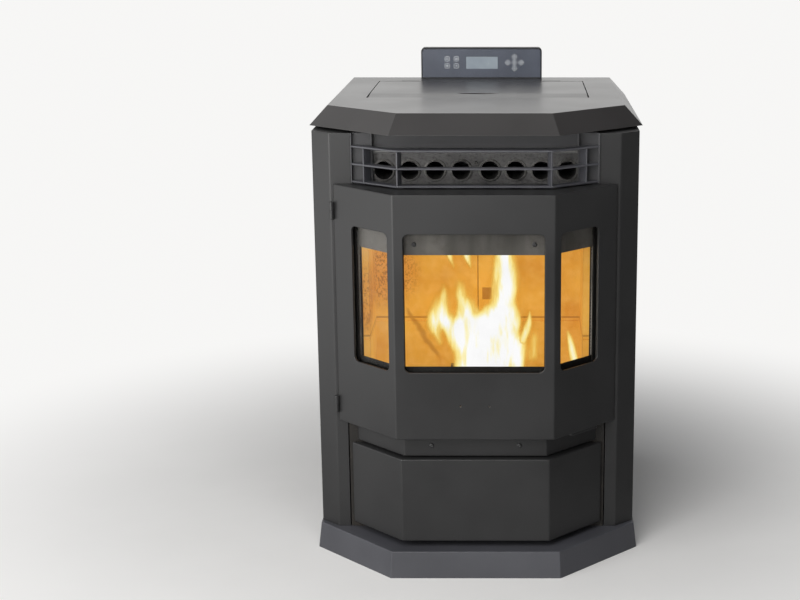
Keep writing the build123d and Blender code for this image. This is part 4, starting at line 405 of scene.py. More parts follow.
def brick_with_painted_firelight():
    """Firebrick: smooth pressed body, flaked on its left, amber with painted firelight that glows most near
    the fire.
    """
    brick = Finish("brick", Specular_IOR_Level=0.15)
    body = brick.noise(9.0, 3.0, 0.5)
    grain = brick.noise(55.0, 4.0)
    grit = brick.noise(330.0, 3.0)
    # the brick's mottled tones, tinted amber as painted firelight
    tone = brick.ramp(
        body, (0.28, (0.62, 0.245, 0.028)), (0.5, (0.72, 0.335, 0.042)), (0.75, (0.80, 0.42, 0.065))
    )
    tone = brick.mottle(grain, 0.35, 0.75, tone, (0.84, 0.47, 0.12), 0.35)
    sides = [brick.band(brick.distance(place), 0.035, 0.085, 1.0, 0.0) for place in ROUGH_SIDES]
    flaked = brick.maths("MAXIMUM", *sides)
    ragged = brick.noise(240.0, 4.0, place=brick.stretched((1, 1, 0.7)), distortion=0.8)
    pits = brick.band(brick.product(ragged, brick.band(grit, 0.3, 0.7, 0.85, 1.2)), 0.50, 0.60)
    worn = brick.product(flaked, pits)
    tone = brick.blend(brick.product(flaked, 0.4), tone, (0.62, 0.24, 0.05))
    tone = brick.blend(brick.product(worn, 0.7), tone, (0.30, 0.10, 0.014))
    across, up = [brick.axis(name, brick.place) for name in "XZ"]
    joint = brick.band(brick.gap(up, BRICK_JOINT_Z), 0.0009, 0.0026, 0.6, 0.0)
    slant = [brick.product(*pair) for pair in zip((across, up), SCRATCH_NORMAL)]
    drift = brick.product(brick.noise(25.0, 2.0), 0.02)
    slope = brick.maths("ADD", brick.maths("ADD", *slant), drift)
    scratch = brick.band(brick.gap(slope, SCRATCH_REACH), 0.001, 0.008, 0.5, 0.0)
    scratch = brick.product(scratch, brick.band(across, *SCRATCH_RIGHT, 1.0, 0.0))
    scratch = brick.product(scratch, brick.band(across, *SCRATCH_LEFT))
    # painted shade: a dark patch where the back brick has a recess
    recess_shade = brick.product(
        brick.maths("LESS_THAN", brick.gap(across, NOTCH[0]), NOTCH_HALF[0]),
        brick.maths("LESS_THAN", brick.gap(up, NOTCH[1]), NOTCH_HALF[1]),
        0.7,
    )
    # darker along the bricks' edges
    edge_tone = brick.band(brick.edges(0.0022), 0.1, 0.9, 0, 0.85)
    marks = joint
    for mark in (scratch, recess_shade, edge_tone):
        marks = brick.maths("MAXIMUM", marks, mark)
    tone = brick.blend(marks, tone, (0.27, 0.085, 0.012))
    brick.colour(brick.blend(0.6, tone, (0.10, 0.06, 0.03)))
    # painted firelight: the amber tone glows, most near the fire
    brick.glow(tone, brick.band(brick.distance(FIRE_CENTRE), 0.05, 0.36, 0.80, 0.60))
    brick.roughness(brick.band(grit, 0.3, 0.7, 0.75, 0.95))
    brick.bump(grit, 0.0005, 0.6)
    brick.bump(grain, 0.0012, 0.5)


def yarn(name, pale, smoked):
    """Glass fibre yarn, greyed by smoke."""
    rope = Finish(name, Sheen_Weight=0.25, Sheen_Roughness=0.5, Specular_IOR_Level=0.3)
    fibre = rope.noise(1500.0, 3.0)
    smoke = rope.noise(30.0, 3.0)
    tone = rope.mottle(smoke, 0.35, 0.7, pale, smoked)
    rope.colour(rope.mottle(fibre, 0.4, 0.75, tone, lighter(smoked, 0.6), 0.5))
    rope.roughness(rope.band(fibre, 0.3, 0.7, 0.7, 0.95))
    rope.bump(fibre, 0.0002, 0.6)


def stove_glass():
    """Ceramic glass: nearly clear, with a faint haze of smoke and a gloss that grows aslant."""
    pane = Finish("pane", Roughness=0.05, Metallic=1.0)
    haze = pane.noise(14.0, 5.0)
    facing = pane.add("ShaderNodeLayerWeight", {"Blend": 0.5}).outputs["Facing"]
    slant = pane.product(pane.maths("POWER", facing, 4.0), 0.35)
    veil = pane.band(haze, 0.4, 0.8, 0.015, 0.05)
    pane.colour(pane.mottle(haze, 0.4, 0.8, (0.70, 0.69, 0.67), (0.55, 0.53, 0.50)))
    pane.link(pane.maths("ADD", veil, slant, True), pane.shader.inputs["Alpha"])
    pane.bump(pane.noise(30.0, 2.0), 0.0002, 0.06)


def moulded_plastic(name, base, rough, grain, worn=0.35):
    """Moulded or printed plastic: fine texture, slight wear on its edges."""
    plastic = Finish(name)
    texture = plastic.noise(grain, 3.0)
    wear = plastic.noise(20.0, 4.0)
    tone = plastic.mottle(wear, 0.35, 0.7, base, lighter(base, 1.18))
    edge_tone = plastic.product(plastic.edges(0.0008), worn)
    plastic.colour(plastic.blend(edge_tone, tone, [part * 2.2 + 0.02 for part in base]))
    plastic.roughness(plastic.band(texture, 0.3, 0.7, rough - 0.05, rough + 0.08))
    plastic.soften(0.0012)
    plastic.bump(texture, 0.00005, 0.6)


def display_cover():
    """Clear cover over a grey liquid crystal sheet, with its fine cell grid."""
    cover = Finish("display", Coat_Weight=0.6, Coat_Roughness=0.05)
    tones = (0.33, 0.385, 0.44), (0.345, 0.40, 0.455), (0.30, 0.35, 0.40)
    cell = cover.grid(*tones, 900.0, 0.06, offset=0.0).outputs["Color"]
    glow = cover.noise(30.0, 2.0)
    cover.colour(cover.mottle(glow, 0.3, 0.7, cell, (0.40, 0.455, 0.50), 0.5))
    cover.roughness(cover.band(glow, 0.3, 0.7, 0.18, 0.28))


def circuit_board():
    board = Finish("board_green")
    tracks = board.grid((0.02, 0.13, 0.05), (0.025, 0.17, 0.07), (0.05, 0.26, 0.11), 160.0, 0.05)
    speck = board.noise(500.0, 2.0)
    solder = board.band(speck, 0.55, 0.75, 0, 0.4)
    board.colour(board.blend(solder, tracks.outputs["Color"], (0.5, 0.5, 0.42)))
    board.roughness(board.band(speck, 0.3, 0.7, 0.3, 0.5))
    board.bump(tracks.outputs["Fac"], 0.00005, 0.6)


def flame_light():
    """Flame: white where it is hottest, yellow then amber and clear towards its edge."""
    flame = Finish(
        "flame", Roughness=1.0, Specular_IOR_Level=0.0, Base_Color=(0, 0, 0, 1), Emission_Strength=1.0
    )
    heat = flame.add("ShaderNodeAttribute", attribute_name="fire_heat").outputs["Fac"]
    streak = flame.noise(60.0, 3.0, place=flame.stretched((1, 1, 0.22)))
    fork = flame.noise(150.0, 2.0, place=flame.stretched((1, 1, 0.12)))
    heat = flame.product(heat, flame.band(streak, 0.3, 0.7, 0.5, 1.35))
    heat = flame.product(heat, flame.band(fork, 0.3, 0.7, 0.85, 1.1))
    flame.glow(
        flame.ramp(
            heat,
            (0.00, (0.74, 0.36, 0.05)),
            (0.14, (0.86, 0.55, 0.11)),
            (0.30, (0.98, 0.80, 0.28)),
            (0.50, (1.0, 0.92, 0.55)),
            (0.72, (1.0, 0.99, 0.90)),
            (0.92, (1.0, 1.0, 1.0)),
        )
    )
    flame.link(flame.band(heat, 0.01, 0.30), flame.shader.inputs["Alpha"])


def ember_glow(name, char, crack_scale):
    """Charred wood with glowing cracks and grey ash."""
    ember = Finish(name)
    crack = ember.cells(crack_scale, "Distance", "DISTANCE_TO_EDGE")
    ash = ember.noise(250.0, 4.0)
    burning = ember.band(ember.noise(35.0, 2.0), 0.35, 0.6)
    hot = ember.product(ember.band(crack, 0.0, 0.16, 1.0, 0.0), burning)
    ember.colour(ember.mottle(ash, 0.45, 0.7, char, (0.30, 0.28, 0.26)))
    ember.glow(ember.blend(hot, (0.75, 0.10, 0.01), (1.0, 0.55, 0.12)), ember.band(hot, 0, 1, 0.35, 2.2))
    ember.roughness(ember.band(ash, 0.3, 0.7, 0.8, 0.98))
    ember.bump(ash, 0.0004, 0.8)


def marking_ink():
    """Pale screen print on the control film."""
    ink = Finish("marking_ink")
    mottle = ink.noise(1200.0, 2.0)
    ink.colour(ink.mottle(mottle, 0.35, 0.7, (0.86, 0.90, 0.93), (0.74, 0.78, 0.81)))
    ink.roughness(ink.band(mottle, 0.3, 0.7, 0.4, 0.55))


FILM = (0.088, 0.099, 0.128)
PLATE_HIGHLIGHT_Z = 0.7735                     # the tube plate's upper lip, painted as a highlight, starts here
stove_paint("casing_paint", (0.022, 0.022, 0.0225), (0.075, 0.074, 0.073), 0.37, 0.6)
stove_paint("cap_paint", (0.033, 0.031, 0.031), (0.10, 0.095, 0.092), 0.35, 0.7, 0.0012, 0.55)
# the plinth's paint, lighter than the casing's; on the outlet grille it is painted light
stove_paint("plinth_paint", (0.062, 0.063, 0.072), (0.17, 0.17, 0.18), 0.42, 0.6)
stove_paint("outlet_paint", (0.060, 0.060, 0.064), (0.17, 0.17, 0.18), 0.42)
burnt_paint()
smoked_plate()
soot("soot", (0.007, 0.0065, 0.006))
zinc_sheet()
turned_steel("bare_steel", (0.52, 0.51, 0.49), (0.36, 0.35, 0.335), 0.34)
scaled_steel("tube_steel", (0.105, 0.102, 0.098), (0.05, 0.048, 0.046), (0.34, 0.33, 0.31))
scaled_steel(
    "plate_steel", (0.15, 0.147, 0.145), (0.085, 0.083, 0.082), (0.36, 0.355, 0.35), PLATE_HIGHLIGHT_Z
)
scaled_steel("weld_steel", (0.20, 0.195, 0.185), (0.10, 0.097, 0.09), (0.40, 0.39, 0.37))
ashy_iron()
brick_with_painted_firelight()
yarn("rope", (0.33, 0.315, 0.29), (0.15, 0.142, 0.13))
yarn("rope_core", (0.05, 0.047, 0.043), (0.025, 0.023, 0.021))
stove_glass()
moulded_plastic("housing_plastic", (0.034, 0.035, 0.038), 0.42, 900.0)
moulded_plastic("fascia_film", FILM, 0.30, 1500.0)
display_cover()
moulded_plastic("key_rubber", FILM, 0.34, 1200.0, 0.2)
marking_ink()
circuit_board()
stove_paint("motor_paint", (0.09, 0.09, 0.095), (0.22, 0.21, 0.2), 0.42)
moulded_plastic("ceramic_rod", (0.62, 0.60, 0.56), 0.7, 400.0)
flame_light()
ember_glow("ember", (0.05, 0.03, 0.02), 260.0)
ember_glow("ember_bed", (0.04, 0.028, 0.02), 90.0)


def set_finish(piece, finish):
    piece.data.materials.clear()
    piece.data.materials.append(finishes[finish])


def dress(piece, finish, body):
    """Gives a new piece its finish and its body."""
    set_finish(piece, finish)
    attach(piece, body)


# nodes that look unlike the rest of their slot
OWN_FINISH = {
    "plinth": "plinth_paint",
    # the grille gets the plinth's lighter paint as painted light under the cap's shade
    "outlet_grille": "plinth_paint",
    "outlet_frame": "outlet_paint",
    "air_wash_plate": "smoked_plate",
    "glass_sill": "soot",
    "door_frame": "soot",
    "glass_retainers": "soot",
    "tube_plate": "plate_steel",
}

for node, piece in stove_nodes.items():
    set_finish(piece, OWN_FINISH.get(node, node_slot[node]))

# ---- geometry node helpers


class Grower(Nodes):
    """A Geometry Nodes tree that turns a base mesh into a finished one."""

    def __init__(self, name, sizes):
        super().__init__(bpy.data.node_groups.new(name, "GeometryNodeTree"))
        face = self.tree.interface
        for way in ("INPUT", "OUTPUT"):
            face.new_socket("Geometry", in_out=way, socket_type="NodeSocketGeometry")
        self.sizes = sizes
        self.sockets = {}
        kinds = {int: "NodeSocketInt", float: "NodeSocketFloat"}
        for label, value in sizes.items():
            kind = kinds.get(type(value), "NodeSocketObject")
            self.sockets[label] = face.new_socket(label, in_out="INPUT", socket_type=kind).identifier
        self.source = self.add("NodeGroupInput")
        self.result = self.add("NodeGroupOutput")
        self.base = self.source.outputs[0]

    def size(self, label):
        return self.source.outputs[label]

    def shape_of(self, label):
        """The mesh of an object that is one of the tree's inputs."""
        return self.add("GeometryNodeObjectInfo", {"Object": self.size(label)}).outputs["Geometry"]

    def scaled(self, vector, scale):
        return self.first("ShaderNodeVectorMath", {0: vector, "Scale": scale}, operation="SCALE")

    def thickened(self, curve, corners, radius):
        """A curve as a mesh with a round section."""
        ring = self.first("GeometryNodeCurvePrimitiveCircle", {"Resolution": corners, "Radius": radius})
        return self.first("GeometryNodeCurveToMesh", {"Curve": curve, "Profile Curve": ring})

    def shifted(self, geometry, offset):
        return self.first("GeometryNodeSetPosition", {"Geometry": geometry, "Offset": offset})

    def finish(self, *finished):
        """Ends the tree: real meshes, each with its finish, joined."""
        join = self.add("GeometryNodeJoinGeometry")
        for geometry, finish in finished:
            real = self.first("GeometryNodeRealizeInstances", {0: geometry})
            inputs = {"Geometry": real, "Material": finishes[finish]}
            self.link(self.first("GeometryNodeSetMaterial", inputs), join.inputs[0])
        self.link(join.outputs[0], self.result.inputs[0])

    def grow(self, name, base):
        """Runs the tree on the base mesh and keeps the result as a plain mesh."""
        piece = add_object(name, base)
        modifier = piece.modifiers.new("grow", "NODES")
        modifier.node_group = self.tree
        for label, value in self.sizes.items():
            modifier[self.sockets[label]] = value
        bpy.context.view_layer.update()
        graph = bpy.context.evaluated_depsgraph_get()
        mesh = bpy.data.meshes.new_from_object(piece.evaluated_get(graph))
        piece.modifiers.remove(modifier)
        piece.data = mesh
        mesh.name = name
        return piece


def marked_points(name, places, facings=None):
    """Loose points, each with the direction it faces."""
    mesh = bpy.data.meshes.new(name)
    mesh.from_pydata([tuple(p) for p in places], [], [])
    if facings:
        layer = mesh.attributes.new("facing", "FLOAT_VECTOR", "POINT")
        for item, facing in zip(layer.data, facings):
            item.vector = facing
    return mesh


def mesh_of(name, fill):
    """A mesh filled by a function that works on a bmesh."""
    shape = bmesh.new()
    fill(shape)
    bmesh.ops.recalc_face_normals(shape, faces=shape.faces)
    mesh = bpy.data.meshes.new(name)
    shape.to_mesh(mesh)
    shape.free()
    return mesh


def lay_out(name, pattern, places, facings, finish, spin=1.5, seed=7):
    """Copies of a pattern at marked places, each facing its own way and turned at random."""
    tree = Grower(name + "_set", {"Pattern": pattern, "Seed": seed, "Spin": spin})
    drawn = {"Seed": tree.size("Seed"), 3: tree.size("Spin")}
    turn = tree.add("FunctionNodeRandomValue", drawn, data_type="FLOAT").outputs[1]
    facing = tree.add("GeometryNodeInputNamedAttribute", {"Name": "facing"}, data_type="FLOAT_VECTOR")
    aim = {"Vector": facing.outputs["Attribute"]}
    faced = tree.first("FunctionNodeAlignRotationToVector", aim, axis="Z")
    spun = tree.first("FunctionNodeAxisAngleToRotation", {"Axis": (0, 0, 1), "Angle": turn})
    pair = {"Rotation": faced, "Rotate By": spun}
    both = tree.first("FunctionNodeRotateRotation", pair, rotation_space="LOCAL")
    laid = {"Points": tree.base, "Instance": tree.shape_of("Pattern"), "Rotation": both}
    tree.finish((tree.first("GeometryNodeInstanceOnPoints", laid), finish))
    piece = tree.grow(name, marked_points(name, places, facings))
    bpy.data.objects.remove(pattern)
    return piece


def circle(radius, count=40):
    turns = [2 * math.pi * k / count for k in range(count)]
    return [(radius * math.cos(turn), radius * math.sin(turn)) for turn in turns]


def lathe(shape, profile, sides):
    """Closed ring surface about Z from (radius, height) points, its ends on the axis."""
    rings = []
    for radius, height in profile:
        places = circle(radius, sides) if radius else [(0, 0)]
        rings.append([shape.verts.new((x, y, height)) for x, y in places])
    for lower, upper in zip(rings, rings[1:]):
        for k in range(sides):
            nearby = (k + 1) % sides
            corners = [lower[k % len(lower)], lower[nearby % len(lower)]]
            corners += [upper[nearby % len(upper)], upper[k % len(upper)]]
            unique = list(dict.fromkeys(corners))
            if len(unique) > 2:
                shape.faces.new(unique)


# ---- screws

SCREW_RADIUS = 0.0045
SCREW_HEAD_HEIGHT = 0.0025
SCREW_RECESS_DEPTH = 0.0013
SCREW_SIDES = 32
# the head's section: shares of its radius and of its height
SCREW_DOME = ((1.0, 0.3), (0.93, 0.58), (0.74, 0.82), (0.45, 0.96))


def domed_head(shape):
    sunk = [(0, -0.0002), (SCREW_RADIUS, -0.0002)]
    dome = [(out * SCREW_RADIUS, up * SCREW_HEAD_HEIGHT) for out, up in SCREW_DOME]
    lathe(shape, sunk + dome + [(0, SCREW_HEAD_HEIGHT)], SCREW_SIDES)


def cross_cutter(shape):
    """Two tapering blades that cut the driver's recess."""
    arm, thick = 0.55 * SCREW_RADIUS, 0.11 * SCREW_RADIUS
    top, deep = SCREW_HEAD_HEIGHT * 1.3, SCREW_HEAD_HEIGHT - SCREW_RECESS_DEPTH
    for turn in (0, math.pi / 2):
        spin = Matrix.Rotation(turn, 3, "Z")
        wide = thick * (1.03 if turn else 0.97)
        corners = [
            spin @ Vector((sx * arm * share, sy * wide, z))
            for z, share in ((deep, 0.45), (top, 1.0))
            for sx, sy in ((-1, -1), (1, -1), (1, 1), (-1, 1))
        ]
        verts = [shape.verts.new(c) for c in corners]
        for face in ((3, 2, 1, 0), (4, 5, 6, 7), (0, 1, 5, 4), (1, 2, 6, 5), (2, 3, 7, 6), (3, 0, 4, 7)):
            shape.faces.new([verts[i] for i in face])


def recessed_head(name):
    """Screw head with its cross recess cut out."""
    blades = add_object(name + "_cutter", mesh_of(name + "_cutter", cross_cutter))
    tree = Grower(name + "_cut", {"Cutter": blades})
    pair = {"Mesh 1": tree.base, "Mesh 2": tree.shape_of("Cutter")}
    cut = tree.first("GeometryNodeMeshBoolean", pair, operation="DIFFERENCE")
    tree.finish((cut, "casing_paint"))
    piece = tree.grow(name, mesh_of(name, domed_head))
    bpy.data.objects.remove(blades)
    return piece


def set_screws(name, places, facings, body, node):
    pattern = recessed_head(name + "_pattern")
    piece = lay_out(name, pattern, places, facings, "casing_paint")
    dress(piece, "casing_paint", body)
    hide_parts(node)


BACK_SCREW_X = 0.2905
BACK_SCREW_Z = (0.0805, 0.43225, 0.784)
RECESS_SCREW = (0.081, 0.247)            # x and z, one on each side
WASH_PLATE_SCREW = (0.108, 0.6285)
back_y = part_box("back_panel")[1].y
recess_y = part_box("recess_panel")[0].y
wash_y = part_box("wash_plate_screws")[0].y + SCREW_HEAD_HEIGHT


def both_sides(x, y, z):
    return [(-x, y, z), (x, y, z)]


casing_places = [(side * BACK_SCREW_X, back_y, z) for side in (-1, 1) for z in BACK_SCREW_Z]
casing_facings = [(0, 1, 0)] * len(casing_places) + [(0, -1, 0)] * 2
casing_places += both_sides(RECESS_SCREW[0], recess_y, RECESS_SCREW[1])
set_screws("casing_screw_heads", casing_places, casing_facings, "stove", "casing_screws")
wash_places = both_sides(WASH_PLATE_SCREW[0], wash_y, WASH_PLATE_SCREW[1])
set_screws("wash_plate_screw_heads", wash_places, [(0, -1, 0)] * 2, "door", "wash_plate_screws")

# ---- weld rings round the heat tubes

TUBE_X = (-0.1689, -0.1214, -0.0739, -0.0264, 0.0264, 0.0739, 0.1214, 0.1689)
TUBE_Z = 0.7435
TUBE_RADIUS = 0.019
TUBE_PLATE_Y = -0.242                    # the tube plate's front face
WELD_RADIUS = 0.0014
WELD_OUTSIDE = 0.0006                    # its middle outside the tube
WELD_PROUD = 0.3                         # share of its radius by which its middle stands off the plate
WELD_RIPPLE = 0.0009


def weld_rings():
    """A rippled bead round the end of each tube."""
    sizes = {"Ring": TUBE_RADIUS + WELD_OUTSIDE, "Bead": WELD_RADIUS, "Ripple": WELD_RIPPLE}
    tree = Grower("weld_rings", sizes)
    ring = tree.first("GeometryNodeCurvePrimitiveCircle", {"Resolution": 90, "Radius": tree.size("Ring")})
    bead = tree.thickened(ring, 10, tree.size("Bead"))
    laid = {"Points": tree.base, "Instance": bead, "Rotation": (math.pi / 2, 0, 0)}
    real = tree.first("GeometryNodeRealizeInstances", {0: tree.first("GeometryNodeInstanceOnPoints", laid)})
    wave = tree.add("ShaderNodeTexNoise", {"Scale": 340.0, "Detail": 2.0}).outputs["Color"]
    drift = tree.vector("SUBTRACT", wave, (0.5, 0.5, 0.5))
    tree.finish((tree.shifted(real, tree.scaled(drift, tree.size("Ripple"))), "weld_steel"))
    front_y = TUBE_PLATE_Y - WELD_PROUD * WELD_RADIUS
    places = [(x, front_y, TUBE_Z) for x in TUBE_X]
    piece = tree.grow("tube_welds", marked_points("tube_welds", places))
    dress(piece, "weld_steel", "stove")


weld_rings()

# ---- woven ropes

ROPE_SECTION = (0.0138, 0.0118)          # across the loop, front to back
ROPE_CLEAR = 0.0002
LOOP_CORNER = 0.007
YARN_OVER = 0.09                         # how far a strand rides over the ones it crosses


def braided_loop(name, centre, yaw, size, section, strands, turns, yarn_radius, samples):
    """Strands wound both ways round a loop, over and under each other, on a dark core."""
    sizes = {
        "Width": size[0],
        "Height": size[1],
        "Corner": LOOP_CORNER,
        "Across": (section[0] / 2 - yarn_radius) / (1 + YARN_OVER),
        "Deep": (section[1] / 2 - yarn_radius) / (1 + YARN_OVER),
        "Yarn": yarn_radius,
        "Turns": float(turns),
        "Strands": float(strands),
        "Samples": turns * samples,
    }
    tree = Grower(name, sizes)
    square = {"Width": tree.size("Width"), "Height": tree.size("Height")}
    loop = tree.first("GeometryNodeCurvePrimitiveQuadrilateral", square)
    bend = {"Curve": loop, "Radius": tree.size("Corner"), "Count": 8}
    bent = tree.first("GeometryNodeFilletCurve", bend, mode="POLY")
    line = tree.first("GeometryNodeResampleCurve", {"Curve": bent, "Count": tree.size("Samples")})
    both_ways = {"Geometry": line, "Amount": tree.product(tree.size("Strands"), 2.0)}
    copies = tree.add("GeometryNodeDuplicateElements", both_ways, domain="SPLINE")
    number = copies.outputs["Duplicate Index"]
    half = tree.maths("FLOOR", tree.maths("DIVIDE", number, 2.0))
    way = tree.maths("SUBTRACT", tree.product(tree.maths("MODULO", number, 2.0), 2.0), 1.0)
    along = tree.add("GeometryNodeSplineParameter").outputs["Factor"]
    wound = tree.product(along, 2 * math.pi, tree.size("Turns"))
    start = tree.maths("DIVIDE", tree.product(half, 2 * math.pi), tree.size("Strands"))
    angle = tree.maths("ADD", tree.product(wound, way), start)
    crossing = tree.maths("COSINE", tree.product(wound, tree.size("Strands")))
    reach = tree.maths("ADD", tree.product(crossing, way, YARN_OVER), 1.0)
    across = tree.product(tree.maths("COSINE", angle), reach, tree.size("Across"))
    deep = tree.product(tree.maths("SINE", angle), reach, tree.size("Deep"))
    side = tree.vector("CROSS_PRODUCT", tree.first("GeometryNodeInputTangent"), (0, 0, 1))
    upwards = tree.first("ShaderNodeCombineXYZ", {"Z": deep})
    offset = tree.vector("ADD", tree.scaled(side, across), upwards)
    strand = tree.shifted(copies.outputs["Geometry"], offset)
    woven = tree.thickened(strand, 5, tree.size("Yarn"))
    heart = tree.thickened(line, 10, tree.size("Deep"))
    stand = {"Translation": centre, "Rotation": (math.pi / 2, 0, yaw)}
    stood = [tree.first("GeometryNodeTransform", {"Geometry": part, **stand}) for part in (woven, heart)]
    tree.finish((stood[0], "rope"), (stood[1], "rope_core"))
    return tree.grow(name, bpy.data.meshes.new(name))


def set_rope(piece, node):
    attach(piece, "door")
    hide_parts(node)


rope_low, rope_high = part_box("door_rope")
rope_span = [rope_high[i] - rope_low[i] - ROPE_SECTION[0] - ROPE_CLEAR for i in (0, 2)]
rope_middle = tuple((rope_low + rope_high) / 2)
door_rope = braided_loop("woven_door_rope", rope_middle, 0.0, rope_span, ROPE_SECTION, 5, 54, 0.0015, 20)
set_rope(door_rope, "door_rope")

TAPE_SECTION = (0.007, 0.003)            # flat tape between the door's sheet and the panes
TAPE_HEIGHT = 0.265
TAPE_PITCH = 0.018                       # length of one turn of its strands
# middle, turn about Z, width
TAPE_LOOPS = (
    ((0.0, -0.3725, 0.522), 0.0, 0.263),
    ((-0.18709, -0.32813, 0.522), -math.pi / 4, 0.109),
    ((0.18709, -0.32813, 0.522), math.pi / 4, 0.109),
)


def woven_tapes():
    """The three window tapes as one mesh."""
    shape = bmesh.new()
    for count, (middle, yaw, width) in enumerate(TAPE_LOOPS):
        turns = round(2 * (width + TAPE_HEIGHT) / TAPE_PITCH)
        name, span = f"tape_loop_{count}", (width, TAPE_HEIGHT)
        loop = braided_loop(name, middle, yaw, span, TAPE_SECTION, 3, turns, 0.0007, 12)
        shape.from_mesh(loop.data)
        bpy.data.objects.remove(loop)
    mesh = bpy.data.meshes.new("woven_glass_rope")
    for finish in ("rope", "rope_core"):
        mesh.materials.append(finishes[finish])
    shape.to_mesh(mesh)
    shape.free()
    return mesh


set_rope(add_object("woven_glass_rope", woven_tapes()), "glass_rope")

# ---- marks on the keys

MARK_THICK = 0.00012
MARK_LINE = 0.0008
ROUND_KEYS = ("key_upper_left", "key_upper_right", "key_lower_left", "key_lower_right")
ARROW_KEYS = {"nav_key_up": (0, 1), "nav_key_down": (0, -1), "nav_key_left": (-1, 0), "nav_key_right": (1, 0)}


def printed(shape, centre, face_y, outer, inner=None):
    """A thin printed shape: a filled outline, or the band between two outlines."""
    loops = []
    for y in (face_y - MARK_THICK, face_y + MARK_THICK):
        for line in (outer, inner):
            if line:
                loops.append([shape.verts.new((centre.x + u, y, centre.z + v)) for u, v in line])
    count = len(outer)
    if inner:
        pairs = ((loops[0], loops[1]), (loops[2], loops[3]), (loops[0], loops[2]), (loops[1], loops[3]))
    else:
        pairs = ((loops[0], loops[1]),)
        shape.faces.new(loops[0])
        shape.faces.new(loops[1])
    for first, second in pairs:
        for k in range(count):
            near = (k + 1) % count
            shape.faces.new((first[k], first[near], second[near], second[k]))


def diamond(reach):
    return [(reach, 0), (0, reach), (-reach, 0), (0, -reach)]


def bar(width, height, rise=0.0):
    corners = ((-1, -1), (1, -1), (1, 1), (-1, 1))
    return [(sx * width / 2, rise + sz * height / 2) for sx, sz in corners]


def ring(radius):
    return circle(radius), circle(radius - MARK_LINE)


def hollow_diamond(reach, lines):
    return diamond(reach), diamond(reach - lines * MARK_LINE)


def round_key_lines(radius, kind):
    """Outlines of a round key's ring and sign: one that is filled, or two with a band between."""
    small = 0.34 * radius
    if kind == 0:
        sign = [ring(small)]
    elif kind == 1:
        sign = [(bar(2.2 * small, MARK_LINE, rise * small),) for rise in (0, 0.7, -0.7)]
    elif kind == 2:
        sign = [hollow_diamond(1.1 * small, 1.6)]
    else:
        sign = [(bar(2.0 * small, MARK_LINE),)]
        sign += [(bar(MARK_LINE, 0.8 * small, rise * small),) for rise in (0.62, -0.62)]
    return [ring(0.90 * radius)] + sign


def arrow_key_lines(reach, way):
    """Outlines of a diamond key: its border, and an arrow or, in the middle, a ring."""
    if not way:
        return [hollow_diamond(0.9 * reach, 1.5), ring(0.24 * reach)]
    tip, wide, behind = 0.30 * reach, 0.26 * reach, 0.12 * reach
    head = [(way[0] * tip, way[1] * tip)]
    for side in (1, -1):
        head.append((-way[1] * wide * side - way[0] * behind, way[0] * wide * side - way[1] * behind))
    return [hollow_diamond(0.9 * reach, 1.5), (head,)]


def mark_key(node, kind):
    low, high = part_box(node)
    centre, half = (low + high) / 2, (high.x - low.x) / 2
    lines = round_key_lines(half, kind) if node in ROUND_KEYS else arrow_key_lines(half, kind)

    def draw(shape):
        for outlines in lines:
            printed(shape, centre, low.y, *outlines)

    piece = add_object(node + "_mark", mesh_of(node + "_mark", draw))
    dress(piece, "marking_ink", node)


for kind, node in enumerate(ROUND_KEYS):
    mark_key(node, kind)
for node, way in ARROW_KEYS.items():
    mark_key(node, way)
mark_key("nav_key_centre", None)

# ---- pellets and embers in the burn pot

POT_MIDDLE_Y = -0.165
BED_HALF = (0.0462, 0.0322)
BED_LEVEL = 0.312
BED_BOTTOM = 0.276
BED_HEAP = 0.016
BED_ROUGH = 0.004
BED_CELLS = (44, 32)
PELLET_COUNT = 120
PELLET_RADIUS = 0.003
PELLET_HALF = 0.007
PELLET_SIDES = 10
PELLET_SPREAD = (0.037, 0.023)
PELLET_LIFT = (0.0005, 0.005)            # its middle above the bed
PELLET_TILT = 0.5
FULL_TURN = 6.28


def bed_top(x, y):
    """Height of the heaped embers."""
    u, v = x / BED_HALF[0], y / BED_HALF[1]
    heap = BED_HEAP * max(0.0, 1 - u * u) * max(0.0, 1 - v * v)
    return BED_LEVEL + heap + BED_ROUGH * noise.noise(Vector((x * 90, y * 90, 2.0)))


def ember_bed(shape):
    across, deep = BED_CELLS
    columns = [BED_HALF[0] * (2 * i / across - 1) for i in range(across + 1)]
    rows = [BED_HALF[1] * (2 * j / deep - 1) for j in range(deep + 1)]
    grid = [[(x, y) for x in columns] for y in rows]
    top = [[shape.verts.new((x, POT_MIDDLE_Y + y, bed_top(x, y))) for x, y in row] for row in grid]
    low = [[shape.verts.new((x, POT_MIDDLE_Y + y, BED_BOTTOM)) for x, y in row] for row in grid]
    for j in range(deep):
        for i in range(across):
            for sheet in (top, low):
                shape.faces.new((sheet[j][i], sheet[j][i + 1], sheet[j + 1][i + 1], sheet[j + 1][i]))
    for j in (0, deep):
        for i in range(across):
            shape.faces.new((top[j][i], top[j][i + 1], low[j][i + 1], low[j][i]))
    for i in (0, across):
        for j in range(deep):
            shape.faces.new((top[j][i], top[j + 1][i], low[j + 1][i], low[j][i]))


dress(add_object("ember_bed", mesh_of("ember_bed", ember_bed)), "ember_bed", "stove")


def pellet(shape):
    """A pellet lying along Z, its ends chamfered."""
    radius, half = PELLET_RADIUS, PELLET_HALF
    profile = [(0, -half), (0.85 * radius, -half), (radius, -0.92 * half)]
    profile += [(out, -height) for out, height in reversed(profile)]
    lathe(shape, profile, PELLET_SIDES)


